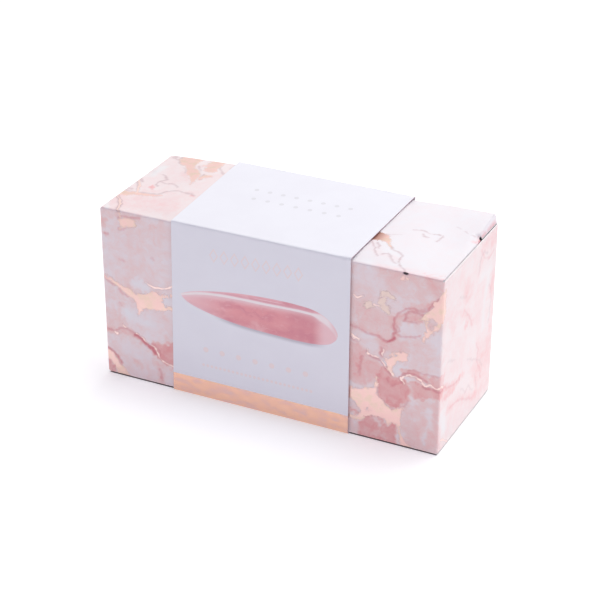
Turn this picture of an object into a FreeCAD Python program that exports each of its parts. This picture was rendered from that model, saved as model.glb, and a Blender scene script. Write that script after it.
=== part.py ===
"""Boxed gua sha wand: tuck-end carton, slide-off sleeve, board platform, foam cradle and the stone.

Millimetres, +Z up. X runs along the carton, and the carton's long front panel faces -Y. The origin is
the centre of the base on which the boxed set stands, which is the underside of the sleeve.
"""
import FreeCAD, Part
import os

V = FreeCAD.Vector

# Carton: outside size when closed, and the thickness of its board
CARTON_LENGTH = 200.0
CARTON_DEPTH = 76.0
CARTON_HEIGHT = 102.0
BOARD = 0.6

# Sleeve: a looser wrap of thinner board round the middle of the carton, nearer the left end
SLEEVE_LENGTH = 105.5
SLEEVE_CENTRE_X = -3.75
SLEEVE_BOARD = 0.5
SLEEVE_SIDE_GAP = 0.6
SLEEVE_TOP_GAP = 1.4
SLEEVE_BASE_GAP = 0.1

# Creases: outer rounding of a folded corner, and the relief each side of the line that a flap turns about
CREASE_RADIUS = 0.9
CLOSURE_RELIEF = 0.35
FLAP_RELIEF = 0.1
BACK_PANEL_SETBACK = 0.3

# End flaps
CLOSURE_DROP = 0.8
TUCK_LENGTH = 14.0
TUCK_LEAN_DEG = 10.0
TUCK_INSET = 1.2
TUCK_CORNER = 8.0
TUCK_BACK_GAP = 0.3
DUST_LENGTH = 36.0
DUST_GAP = 0.25
DUST_ROOT_START = 1.5
DUST_ROOT_END = 51.0
DUST_TIP_START = 25.0
DUST_TIP_END = 46.0
DUST_CORNER = 4.0
DUST_HINGE_TAPER = 0.9
DUST_HINGE_STRAIGHT = 2.5
DUST_NOTCH_SIDE_STRAIGHT = 6.0
NOTCH_WIDTH = 2.6
NOTCH_DEPTH = 2.0
NOTCH_ROUNDING = 1.17

# Glued laps
CARTON_LAP = 13.0
CARTON_LAP_GAP = 0.1
SLEEVE_LAP = 12.0
SLEEVE_LAP_RISE = 0.2
SLEEVE_LAP_INSET = 1.0
LAP_TAPER = 5.0

# Platform and cradle that hold the stone at mid height
PLATFORM_LENGTH = 195.0
PLATFORM_DEPTH = 66.0
DECK_TOP = 28.0
CRADLE_THICKNESS = 26.0
CRADLE_INSET = 0.5
CRADLE_CORNER = 3.0
PLATFORM_CLEARANCE = 0.05

# Stone: a tapered wand, slim at the left and full and round at the right
STONE_LENGTH = 165.0
STONE_CONTROL_RADIUS = 18.8
RECESS_GAP = 0.4

# How far cutting shapes reach past what they cut, and the distance within which two points count as level
OVERCUT = 1.0
LEVEL = 0.1

HALF_LENGTH = CARTON_LENGTH / 2
HALF_DEPTH = CARTON_DEPTH / 2
BASE_Z = SLEEVE_BOARD + SLEEVE_BASE_GAP
TOP_Z = BASE_Z + CARTON_HEIGHT

# The line that each closure turns about, on the inner faces of the front panel and the closure
CLOSURE_AXIS_X = HALF_LENGTH - BOARD
CLOSURE_AXIS_Y = -HALF_DEPTH + BOARD
# The line that each dust flap turns about, on the inner faces of the flap and of the panel it hangs from
DUST_AXIS_X = CLOSURE_AXIS_X - DUST_GAP - BOARD
PANEL_END_X = DUST_AXIS_X - FLAP_RELIEF
CUT_END_X = DUST_AXIS_X + BOARD
FRONT_END_X = CLOSURE_AXIS_X - CLOSURE_RELIEF
BACK_END_X = HALF_LENGTH - BACK_PANEL_SETBACK
# The line that each tuck flap turns about, at the closure's free edge
TUCK_AXIS_Y = HALF_DEPTH - 2 * BOARD - TUCK_BACK_GAP
STONE_Z = DECK_TOP + CRADLE_THICKNESS


def box(x0, x1, y0, y1, z0, z1):
    """A box between two corners."""
    return Part.makeBox(x1 - x0, y1 - y0, z1 - z0, V(x0, y0, z0))


def prism(points, direction):
    """A straight-sided solid swept along a vector from a closed outline."""
    return Part.Face(Part.makePolygon(points + points[:1])).extrude(direction)


def rounded(shape, radius, axis, keep):
    """Rounds the edges that run along one axis and whose middles pass the test."""
    chosen = []
    for edge in shape.Edges:
        along = edge.Vertexes[-1].Point - edge.Vertexes[0].Point
        if along.Length > 1e-6 and abs(along.normalize().dot(axis)) > 0.999 and keep(edge.CenterOfMass):
            chosen.append(edge)
    return shape.makeFillet(radius, chosen)


def tube(x0, x1, half_depth, z0, z1, board, crease):
    """A folded board tube along X, with rounded outer creases."""
    outer = box(x0, x1, -half_depth, half_depth, z0, z1)
    outer = rounded(outer, crease, V(1, 0, 0), lambda point: True)
    hollow = box(x0 - OVERCUT, x1 + OVERCUT, -half_depth + board, half_depth - board, z0 + board, z1 - board)
    return outer.cut(hollow)


def panels(whole, half_depth, z0, z1, board):
    """Parts a board tube into its four panels along the corner mitres."""
    reach = CARTON_LENGTH
    inner_y = half_depth - board
    wedges = {
        "front": [(-half_depth, z0), (-inner_y, z0 + board), (-inner_y, z1 - board), (-half_depth, z1)],
        "back": [(half_depth, z0), (inner_y, z0 + board), (inner_y, z1 - board), (half_depth, z1)],
        "top": [(-half_depth, z1), (-inner_y, z1 - board), (inner_y, z1 - board), (half_depth, z1)],
        "bottom": [(-half_depth, z0), (-inner_y, z0 + board), (inner_y, z0 + board), (half_depth, z0)],
    }
    parted = {}
    for side, outline in wedges.items():
        wedge = prism([V(-reach, y, z) for y, z in outline], V(2 * reach, 0, 0))
        parted[side] = whole.common(wedge)
    return parted


def mirrored_x(shape):
    """The same piece at the other end of the carton."""
    return shape.mirror(V(0, 0, 0), V(1, 0, 0))


def end_cut(panel, x_end):
    """Trims a panel to the same distance from the middle at both ends."""
    return panel.common(box(-x_end, x_end, -CARTON_DEPTH, CARTON_DEPTH, -OVERCUT, TOP_Z + OVERCUT))


def relief_notch(z0, z1):
    """The small slot in a panel's end where its dust flap stops and the plain cut edge begins."""
    y0 = CLOSURE_AXIS_Y + DUST_ROOT_END
    slot = box(CUT_END_X - NOTCH_DEPTH, HALF_LENGTH, y0, y0 + NOTCH_WIDTH, z0, z1)
    blind_x = CUT_END_X - NOTCH_DEPTH
    return rounded(slot, NOTCH_ROUNDING, V(0, 0, 1), lambda point: point.x < blind_x + LEVEL)


def flap_panel(panel, z0, z1):
    """A top or bottom panel: cut back where its dust flaps hang, and full length beside them."""
    trimmed = end_cut(panel, CUT_END_X)
    root = box(
        PANEL_END_X, HALF_LENGTH, CLOSURE_AXIS_Y + DUST_ROOT_START - FLAP_RELIEF,
        CLOSURE_AXIS_Y + DUST_ROOT_END, z0, z1,
    )
    for gap in (root, relief_notch(z0, z1)):
        trimmed = trimmed.cut(gap)
        trimmed = trimmed.cut(mirrored_x(gap))
    return trimmed


def dust_flap(root_z, downwards):
    """A dust flap at the right end, bent inwards from the top (-Z) or the bottom (+Z) panel."""
    sign = -1.0 if downwards else 1.0
    outline = [
        (DUST_ROOT_START, FLAP_RELIEF), (DUST_ROOT_END, FLAP_RELIEF),
        (DUST_ROOT_END, DUST_NOTCH_SIDE_STRAIGHT), (DUST_TIP_END, DUST_LENGTH), (DUST_TIP_START, DUST_LENGTH),
        (DUST_ROOT_START + DUST_HINGE_TAPER, DUST_HINGE_STRAIGHT),
    ]
    points = [V(DUST_AXIS_X, CLOSURE_AXIS_Y + across, root_z + sign * along) for across, along in outline]
    flap = prism(points, V(BOARD, 0, 0))
    tip_z = root_z + sign * DUST_LENGTH
    return rounded(flap, DUST_CORNER, V(1, 0, 0), lambda point: abs(point.z - tip_z) < LEVEL)


def closure_panel():
    """The panel that closes the right end, folded back from the front panel's end."""
    return box(
        CLOSURE_AXIS_X, HALF_LENGTH, CLOSURE_AXIS_Y + CLOSURE_RELIEF, TUCK_AXIS_Y - FLAP_RELIEF,
        BASE_Z + CLOSURE_DROP, TOP_Z - CLOSURE_DROP,
    )


def tuck_flap():
    """The tongue on the closure's free edge, which slides in beside the back panel."""
    z0 = BASE_Z + CLOSURE_DROP + TUCK_INSET
    z1 = TOP_Z - CLOSURE_DROP - TUCK_INSET
    x0 = CLOSURE_AXIS_X - TUCK_LENGTH
    flap = box(x0, CLOSURE_AXIS_X - FLAP_RELIEF, TUCK_AXIS_Y, TUCK_AXIS_Y + BOARD, z0, z1)
    flap = rounded(flap, TUCK_CORNER, V(0, 1, 0), lambda point: point.x < x0 + LEVEL)
    flap.rotate(V(CLOSURE_AXIS_X, TUCK_AXIS_Y, 0), V(0, 0, 1), TUCK_LEAN_DEG)
    return flap


def carton_lap():
    """The carton's glued lap, on the inner face of the bottom panel along its back edge."""
    y1 = HALF_DEPTH - BOARD - CARTON_LAP_GAP
    y0 = y1 - CARTON_LAP
    z0 = BASE_Z + BOARD
    half = PLATFORM_LENGTH / 2
    outline = [V(-half + LAP_TAPER, y0, z0), V(half - LAP_TAPER, y0, z0), V(half, y1, z0), V(-half, y1, z0)]
    return prism(outline, V(0, 0, BOARD))


def sleeve_pieces():
    """The sleeve's four panels and its lap, glued to the foot of the back panel's inner face."""
    x0 = SLEEVE_CENTRE_X - SLEEVE_LENGTH / 2
    x1 = SLEEVE_CENTRE_X + SLEEVE_LENGTH / 2
    half_depth = HALF_DEPTH + SLEEVE_SIDE_GAP + SLEEVE_BOARD
    z1 = TOP_Z + SLEEVE_TOP_GAP + SLEEVE_BOARD
    wrap = tube(x0, x1, half_depth, 0.0, z1, SLEEVE_BOARD, CREASE_RADIUS)
    pieces = {}
    for side, panel in panels(wrap, half_depth, 0.0, z1, SLEEVE_BOARD).items():
        pieces["sleeve_" + side + "_panel"] = panel
    y1 = half_depth - SLEEVE_BOARD
    z_low = BASE_Z + SLEEVE_LAP_RISE
    z_high = z_low + SLEEVE_LAP
    lap_x0 = x0 + SLEEVE_LAP_INSET
    lap_x1 = x1 - SLEEVE_LAP_INSET
    outline = [
        V(lap_x0, y1, z_low), V(lap_x1, y1, z_low), V(lap_x1 - LAP_TAPER, y1, z_high),
        V(lap_x0 + LAP_TAPER, y1, z_high),
    ]
    pieces["sleeve_glue_lap"] = prism(outline, V(0, -SLEEVE_BOARD, 0))
    return pieces


def carton_pieces():
    """The carton's four panels, its lap and the four flaps of each end."""
    whole = tube(-HALF_LENGTH, HALF_LENGTH, HALF_DEPTH, BASE_Z, TOP_Z, BOARD, CREASE_RADIUS)
    side = panels(whole, HALF_DEPTH, BASE_Z, TOP_Z, BOARD)
    inner_base = BASE_Z + BOARD
    inner_top = TOP_Z - BOARD
    pieces = {
        "carton_front_panel": end_cut(side["front"], FRONT_END_X),
        "carton_back_panel": end_cut(side["back"], BACK_END_X),
        "carton_top_panel": flap_panel(side["top"], inner_top - OVERCUT, TOP_Z + OVERCUT),
        "carton_bottom_panel": flap_panel(side["bottom"], BASE_Z - OVERCUT, inner_base + OVERCUT),
        "carton_glue_lap": carton_lap(),
    }
    right = {
        "closure_panel": closure_panel(),
        "tuck_flap": tuck_flap(),
        "top_dust_flap": dust_flap(inner_top, True),
        "bottom_dust_flap": dust_flap(inner_base, False),
    }
    for name, shape in right.items():
        pieces["right_" + name] = shape
        pieces["left_" + name] = mirrored_x(shape)
    return pieces


def stone_outline(grow):
    """The wand's half outline above its axis, from tip to full end, grown by a clearance."""
    tip = -STONE_LENGTH / 2 - grow
    end = STONE_LENGTH / 2 + grow
    full = STONE_CONTROL_RADIUS + grow
    control = [
        (tip, 0.0), (tip, 0.34 * full), (tip + 0.13 * STONE_LENGTH, 0.66 * full),
        (tip + 0.44 * STONE_LENGTH, 0.98 * full), (tip + 0.80 * STONE_LENGTH, 1.03 * full),
        (end, 0.98 * full), (end, 0.0),
    ]
    curve = Part.BSplineCurve()
    curve.buildFromPoles([V(x, 0, radius) for x, radius in control], False, 3)
    return [curve.toShape(), Part.makeLine(V(end, 0, 0), V(tip, 0, 0))]


def stone(grow=0.0):
    """The wand turned about its own long axis, lying along X at the top of the cradle."""
    face = Part.Face(Part.Wire(stone_outline(grow)))
    body = face.revolve(V(0, 0, 0), V(1, 0, 0), 360)
    body.translate(V(0, 0, STONE_Z))
    return body


def holder_pieces():
    """The folded board platform and the foam cradle that stands on it."""
    half = PLATFORM_LENGTH / 2
    half_depth = PLATFORM_DEPTH / 2
    foot = BASE_Z + 2 * BOARD + PLATFORM_CLEARANCE
    deck_base = DECK_TOP - BOARD
    foam = box(
        -half + CRADLE_INSET, half - CRADLE_INSET, -half_depth + CRADLE_INSET, half_depth - CRADLE_INSET,
        DECK_TOP, STONE_Z,
    )
    foam = rounded(foam, CRADLE_CORNER, V(0, 0, 1), lambda point: True)
    return {
        "platform_deck": box(-half, half, -half_depth, half_depth, deck_base, DECK_TOP),
        "platform_front_leg": box(-half, half, -half_depth, -half_depth + BOARD, foot, deck_base),
        "platform_back_leg": box(-half, half, half_depth - BOARD, half_depth, foot, deck_base),
        "foam_cradle": foam.cut(stone(RECESS_GAP)),
    }


def main():
    """Builds every piece and writes it to its own file."""
    os.makedirs("parts", exist_ok=True)
    pieces = {}
    pieces.update(carton_pieces())
    pieces.update(sleeve_pieces())
    pieces.update(holder_pieces())
    pieces["gua_sha_wand"] = stone()
    for name, shape in sorted(pieces.items()):
        solid = shape.Solids[0] if len(shape.Solids) == 1 else shape
        if not solid.isValid() or solid.Volume < 1.0 or len(shape.Solids) != 1:
            raise ValueError(name + " isn't one sound solid")
        solid.exportStep("parts/" + name + ".step")
        extent = solid.BoundBox
        size = (extent.XLength, extent.YLength, extent.ZLength)
        print("%-22s %9.1f mm3  %7.2f x %6.2f x %6.2f mm" % ((name, solid.Volume) + size))


main()
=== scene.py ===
import math
import random

import bpy
import numpy as np
from mathutils import Matrix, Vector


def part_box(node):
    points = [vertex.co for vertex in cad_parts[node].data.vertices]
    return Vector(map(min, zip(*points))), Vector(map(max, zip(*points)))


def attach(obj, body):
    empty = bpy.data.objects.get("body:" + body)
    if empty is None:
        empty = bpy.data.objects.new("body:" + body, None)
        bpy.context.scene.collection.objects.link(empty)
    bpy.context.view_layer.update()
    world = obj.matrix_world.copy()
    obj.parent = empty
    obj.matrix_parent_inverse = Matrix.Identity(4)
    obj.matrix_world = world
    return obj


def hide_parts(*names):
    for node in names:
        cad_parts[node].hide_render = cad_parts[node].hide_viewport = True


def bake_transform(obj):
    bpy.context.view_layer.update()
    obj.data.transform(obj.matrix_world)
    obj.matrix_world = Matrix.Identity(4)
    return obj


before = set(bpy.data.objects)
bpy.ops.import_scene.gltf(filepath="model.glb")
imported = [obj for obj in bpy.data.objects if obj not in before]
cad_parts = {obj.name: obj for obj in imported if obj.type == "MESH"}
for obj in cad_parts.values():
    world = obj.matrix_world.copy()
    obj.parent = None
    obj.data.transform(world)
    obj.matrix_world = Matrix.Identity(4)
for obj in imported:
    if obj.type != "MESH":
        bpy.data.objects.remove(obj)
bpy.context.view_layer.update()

MM = 0.001

# -----------------------------------------------------------------------------
# Sizes in millimetres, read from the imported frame
# -----------------------------------------------------------------------------


def span(node):
    """The lowest and highest corner of a CAD node, in millimetres."""
    low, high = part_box(node)
    return [c / MM for c in low], [c / MM for c in high]


FRONT = span("carton_front_panel")
BACK = span("carton_back_panel")
TOP = span("carton_top_panel")
BOTTOM = span("carton_bottom_panel")
LAP = span("carton_glue_lap")
CLOSURE = span("right_closure_panel")
TUCK = span("right_tuck_flap")
TOP_DUST = span("right_top_dust_flap")
SLEEVE_FRONT = span("sleeve_front_panel")
SLEEVE_TOP = span("sleeve_top_panel")
SLEEVE_LAP = span("sleeve_glue_lap")
DECK = span("platform_deck")
LEG = span("platform_front_leg")
FOAM = span("foam_cradle")
STONE = span("gua_sha_wand")

BOARD = TOP[1][2] - TOP[0][2]
SLEEVE_BOARD = SLEEVE_TOP[1][2] - SLEEVE_TOP[0][2]
DEPTH = BACK[1][1]
BASE = BOTTOM[0][2]
LID = TOP[1][2]
HEIGHT = LID - BASE
END = CLOSURE[1][0]
DUST_AXIS_X = TOP_DUST[0][0]
FLAP_ROOT_X = DUST_AXIS_X - 0.1
DUST_ROOT = (TOP_DUST[0][1], TOP_DUST[1][1])
NOTCH_WIDTH = 2.2
NOTCH_DEPTH = 1.2
LAP_SLANT = 5.0
CREASE = 0.9

# The lid has sprung up along its back crease, more towards the right, and takes the sleeve up with it:
# places along the lid and how far its back edge stands above its flat place there
LID_RISE_X = (-100.0, -86.0, -56.0, 0.0, 52.0, 75.0, 100.0)
LID_RISE_Z = (1.0, 2.0, 3.4, 3.7, 3.3, 4.4, 4.95)
LID_DOME = 0.8
# Near its ends only the lid's back half rises: how far out that starts, and the length it comes in over
LID_END_START, LID_END_LENGTH = 60.0, 30.0
SLEEVE_RISE = 3.1
SLEEVE_SINK = 0.5
SLEEVE_FLARE = 0.25
SLEEVE_FLARE_FROM = 0.93


# -----------------------------------------------------------------------------
# Small helpers
# -----------------------------------------------------------------------------


def ease(t):
    """Smooth step from 0 to 1."""
    t = np.clip(t, 0.0, 1.0)
    return t * t * (3.0 - 2.0 * t)


def ripple(u, v, size, seed):
    """A smooth, seeded wobble between about -1 and 1 with features of the given size."""
    draw = random.Random(seed)
    total = 0.0
    waves = 5
    for _ in range(waves):
        angle = draw.uniform(0.0, math.tau)
        wave = math.tau / (size * draw.uniform(0.7, 1.7))
        phase = draw.uniform(0.0, math.tau)
        total = total + np.sin((u * math.cos(angle) + v * math.sin(angle)) * wave + phase)
    return total / waves ** 0.5 * 0.8


def stations(start, end, step):
    """Evenly spaced values from start to end, at most a step apart."""
    return list(np.linspace(start, end, max(2, int(math.ceil(abs(end - start) / step)) + 1)))


def fold(corners, radii, steps, turn=1.0, bend_steps=6):
    """A folded outline with rounded creases: points, outward normals and a distance round the corners.

    Each run between two corners has its own spacing, and each inner corner its own radius.
    """
    points, normals, along = [], [], []
    total = 0.0
    for i in range(len(corners) - 1):
        a = np.array(corners[i], float)
        b = np.array(corners[i + 1], float)
        length = np.linalg.norm(b - a)
        d = (b - a) / length
        n = turn * np.array([-d[1], d[0]])
        cut_a = 0.0 if i == 0 else tangent_length(corners, i, radii[i - 1])
        cut_b = 0.0 if i == len(corners) - 2 else tangent_length(corners, i + 1, radii[i])
        for s in stations(cut_a, length - cut_b, steps[i]):
            points.append(a + d * s)
            normals.append(n)
            along.append(total + s)
        total += length
        if cut_b:
            c = np.array(corners[i + 2], float)
            d2 = (c - b) / np.linalg.norm(c - b)
            n2 = turn * np.array([-d2[1], d2[0]])
            centre = b - d * cut_b - n * radii[i]
            sweep = math.acos(float(np.clip(n @ n2, -1, 1)))
            for k in range(1, bend_steps):
                part = k / bend_steps
                m = (math.sin((1 - part) * sweep) * n + math.sin(part * sweep) * n2) / math.sin(sweep)
                points.append(centre + m * radii[i])
                normals.append(m)
                along.append(total + cut_b * (2 * part - 1))
    return np.array(points), np.array(normals), np.array(along)


def tangent_length(corners, i, radius):
    """How far a crease's rounding reaches from its corner."""
    a, b, c = (np.array(corners[k], float) for k in (i - 1, i, i + 1))
    d1 = (b - a) / np.linalg.norm(b - a)
    d2 = (c - b) / np.linalg.norm(c - b)
    turned = math.acos(float(np.clip(d1 @ d2, -1, 1)))
    return radius * math.tan(turned / 2)


def new_object(name, verts, faces, materials, indices=None, smooth_deg=35.0):
    """A mesh object from millimetre points."""
    mesh = bpy.data.meshes.new(name)
    mesh.from_pydata((np.asarray(verts, float) * MM).tolist(), [], faces)
    for material in materials:
        mesh.materials.append(material)
    if indices is not None:
        mesh.polygons.foreach_set("material_index", np.asarray(indices, np.int32))
    mesh.polygons.foreach_set("use_smooth", np.ones(len(mesh.polygons), bool))
    mesh.update()
    mesh.set_sharp_from_angle(angle=math.radians(smooth_deg))
    made = bpy.data.objects.new(name, mesh)
    bpy.context.scene.collection.objects.link(made)
    return made


def point_values(mesh, name, values):
    """Stores one number for each vertex."""
    layer = mesh.attributes.new(name, "FLOAT", "POINT")
    layer.data.foreach_set("value", np.asarray(values, np.float32))


def blank_map(mesh, uv):
    """Stores where each vertex lies on the flat blank, in metres, so that print stays put as flaps turn."""
    layer = mesh.uv_layers.new(name="Blank")
    vertex = np.empty(len(mesh.loops), np.int32)
    mesh.loops.foreach_get("vertex_index", vertex)
    layer.data.foreach_set("uv", (uv[vertex] * MM).ravel().astype(np.float32))


def board(name, outer, normal, uv, thickness, materials, fields=None):
    """One sheet of board from a grid of outer points: printed face, plain inner face and cut edges."""
    rows, cols = outer.shape[:2]
    inner = outer - normal * thickness
    verts = np.concatenate([outer.reshape(-1, 3), inner.reshape(-1, 3)])
    count = rows * cols
    index = np.arange(count).reshape(rows, cols)
    a, b = index[:-1, :-1].ravel(), index[:-1, 1:].ravel()
    c, d = index[1:, 1:].ravel(), index[1:, :-1].ravel()
    face_normal = np.cross(outer[0, 1] - outer[0, 0], outer[1, 0] - outer[0, 0])
    flip = face_normal @ normal[0, 0] < 0
    front = np.stack([a, d, c, b] if flip else [a, b, c, d], 1)
    back = np.stack([a, b, c, d] if flip else [a, d, c, b], 1) + count
    border = []
    for line, forward in (
        (index[0, :], True), (index[-1, :], False), (index[:, 0], False), (index[:, -1], True),
    ):
        p, q = line[:-1], line[1:]
        quad = [q, p, p + count, q + count] if forward != flip else [p, q, q + count, p + count]
        border.append(np.stack(quad, 1))
    faces = np.concatenate([front, back] + border)
    kinds = [0] * len(front) + [1] * len(back) + [2] * (len(faces) - len(front) - len(back))
    made = new_object(name, verts, faces.tolist(), materials, kinds)
    flat_uv = uv.reshape(-1, 2)
    both = np.concatenate([flat_uv, flat_uv])
    blank_map(made.data, both)
    for key, values in (fields(both[:, 0], both[:, 1]) if fields else {}).items():
        point_values(made.data, key, values)
    return made


def spread(points, count):
    """The two coordinates of a folded outline's points, repeated for each column of a sheet."""
    return np.repeat(points[:, :1], count, 1), np.repeat(points[:, 1:], count, 1)


def strip(name, x, y, z, normals, along, thickness, materials, fields=None):
    """A folded sheet from its grid of places: rows go round it and columns run along X."""
    outer = np.stack([x, y, z], 2)
    normal = np.zeros_like(outer)
    normal[:, :, 1:] = normals[:, None, :]
    uv = np.stack([x, np.repeat(along[:, None], x.shape[1], 1)], 2)
    return board(name, outer, normal, uv, thickness, materials, fields)


# -----------------------------------------------------------------------------
# Node helpers
# -----------------------------------------------------------------------------


class Nodes:
    """Short calls for building a material's node tree."""

    def __init__(self, name):
        self.material = bpy.data.materials.new(name)
        self.material.use_nodes = True
        self.tree = self.material.node_tree
        self.tree.nodes.clear()
        self.out = self.tree.nodes.new("ShaderNodeOutputMaterial")
        self.shader = self.tree.nodes.new("ShaderNodeBsdfPrincipled")
        self.tree.links.new(self.shader.outputs[0], self.out.inputs[0])

    def put(self, socket, value):
        if isinstance(value, bpy.types.NodeSocket):
            self.tree.links.new(value, socket)
        elif isinstance(value, tuple) and len(value) == 3 and socket.type == "RGBA":
            socket.default_value = (*value, 1.0)
        else:
            socket.default_value = value

    def set(self, **values):
        for key, value in values.items():
            self.put(self.shader.inputs[key.replace("_", " ")], value)

    def math(self, operation, a, b=0.0, clamp=False):
        node = self.tree.nodes.new("ShaderNodeMath")
        node.operation = operation
        node.use_clamp = clamp
        self.put(node.inputs[0], a)
        self.put(node.inputs[1], b)
        return node.outputs[0]

    def times(self, a, b, clamp=False):
        return self.math("MULTIPLY", a, b, clamp)

    def plus(self, a, b, clamp=False):
        return self.math("ADD", a, b, clamp)

    def minus(self, a, b):
        return self.math("SUBTRACT", a, b)

    def apart(self, a, b):
        """How far two numbers are apart."""
        return self.math("ABSOLUTE", self.minus(a, b))

    def vector(self, operation, a, b=(0.0, 0.0, 0.0)):
        node = self.tree.nodes.new("ShaderNodeVectorMath")
        node.operation = operation
        self.put(node.inputs[0], a)
        if operation == "SCALE":
            self.put(node.inputs[3], b)
        else:
            self.put(node.inputs[1], b)
        return node.outputs[0]

    def mix(self, factor, a, b):
        node = self.tree.nodes.new("ShaderNodeMix")
        node.data_type = "RGBA"
        self.put(node.inputs[0], factor)
        self.put(node.inputs[6], a)
        self.put(node.inputs[7], b)
        return node.outputs[2]

    def layered(self, base, layers):
        """Colours laid over a base in order, each with its own cover."""
        for cover, colour in layers:
            base = self.mix(cover, base, colour)
        return base

    def step(self, value, low, high, to_low=0.0, to_high=1.0):
        node = self.tree.nodes.new("ShaderNodeMapRange")
        node.interpolation_type = "SMOOTHSTEP"
        for socket, number in zip(node.inputs[:5], (value, low, high, to_low, to_high)):
            self.put(socket, number)
        return node.outputs[0]

    def window(self, value, rise_from, rise_to, fall_from, fall_to):
        """Rises from 0 to 1 and falls back to 0 as the value grows."""
        return self.times(self.step(value, rise_from, rise_to), self.step(value, fall_from, fall_to))

    def noise(self, at, scale, detail=3.0, roughness=0.5, colour=False):
        node = self.tree.nodes.new("ShaderNodeTexNoise")
        self.put(node.inputs["Vector"], at)
        node.inputs["Scale"].default_value = scale
        node.inputs["Detail"].default_value = detail
        node.inputs["Roughness"].default_value = roughness
        return node.outputs[1] if colour else node.outputs[0]

    def cells(self, at, scale):
        """How far the nearest of scattered points is."""
        node = self.tree.nodes.new("ShaderNodeTexVoronoi")
        node.inputs["Scale"].default_value = scale
        self.put(node.inputs["Vector"], at)
        return node.outputs["Distance"]

    def swayed(self, at, scale, reach):
        """A place pushed about by noise, in millimetres."""
        push = self.vector("SUBTRACT", self.noise(at, scale, 3.0, colour=True), (0.5, 0.5, 0.5))
        return self.vector("ADD", at, self.vector("SCALE", push, reach))

    def ramp(self, factor, stops):
        node = self.tree.nodes.new("ShaderNodeValToRGB")
        self.put(node.inputs[0], factor)
        elements = node.color_ramp.elements
        while len(elements) < len(stops):
            elements.new(0.5)
        for element, (place, colour) in zip(elements, stops):
            element.position = place
            element.color = (*colour, 1.0)
        return node.outputs[0]

    def attribute(self, name):
        node = self.tree.nodes.new("ShaderNodeAttribute")
        node.attribute_name = name
        return node.outputs["Fac"]

    def blank(self):
        """The place on the flat blank, in millimetres."""
        node = self.tree.nodes.new("ShaderNodeUVMap")
        node.uv_map = "Blank"
        return self.vector("SCALE", node.outputs[0], 1.0 / MM)

    def place(self):
        """The place on the object, in millimetres."""
        node = self.tree.nodes.new("ShaderNodeTexCoord")
        return self.vector("SCALE", node.outputs["Object"], 1.0 / MM)

    def parts(self, vector):
        node = self.tree.nodes.new("ShaderNodeSeparateXYZ")
        self.put(node.inputs[0], vector)
        return node.outputs[0], node.outputs[1], node.outputs[2]

    def curve(self, value, low, high, points, bottom, top):
        """A smooth curve: points of (input, output) between the given limits."""
        scaled = self.math("DIVIDE", self.minus(value, low), high - low)
        node = self.tree.nodes.new("ShaderNodeFloatCurve")
        line = node.mapping.curves[0]
        while len(line.points) < len(points):
            line.points.new(0.5, 0.5)
        for point, (x, y) in zip(line.points, points):
            point.location = ((x - low) / (high - low), (y - bottom) / (top - bottom))
        node.mapping.update()
        self.put(node.inputs["Value"], scaled)
        return self.plus(self.times(node.outputs[0], top - bottom), bottom)

    def bump(self, height, distance_mm, strength=1.0, normal=None):
        node = self.tree.nodes.new("ShaderNodeBump")
        node.inputs["Distance"].default_value = distance_mm * MM
        node.inputs["Strength"].default_value = strength
        self.put(node.inputs["Height"], height)
        if normal is not None:
            self.put(node.inputs["Normal"], normal)
        return node.outputs[0]


# -----------------------------------------------------------------------------
# The carton's print, laid out on the flat blank in millimetres.
# Across (u) is X on the long panels and runs on round each end: u = 100 is the right-hand front edge.
# Up (v) is height above the carton's base on the front, and runs on over the top: v = 102 is its front edge.
# -----------------------------------------------------------------------------


def on_top(points):
    """Turns (x, y) on the top panel into blank places."""
    return [(x, HEIGHT + DEPTH + y) for x, y in points]


def on_end(points):
    """Turns (y, height) on the right closure into blank places."""
    return [(END + DEPTH + y, z) for y, z in points]


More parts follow.
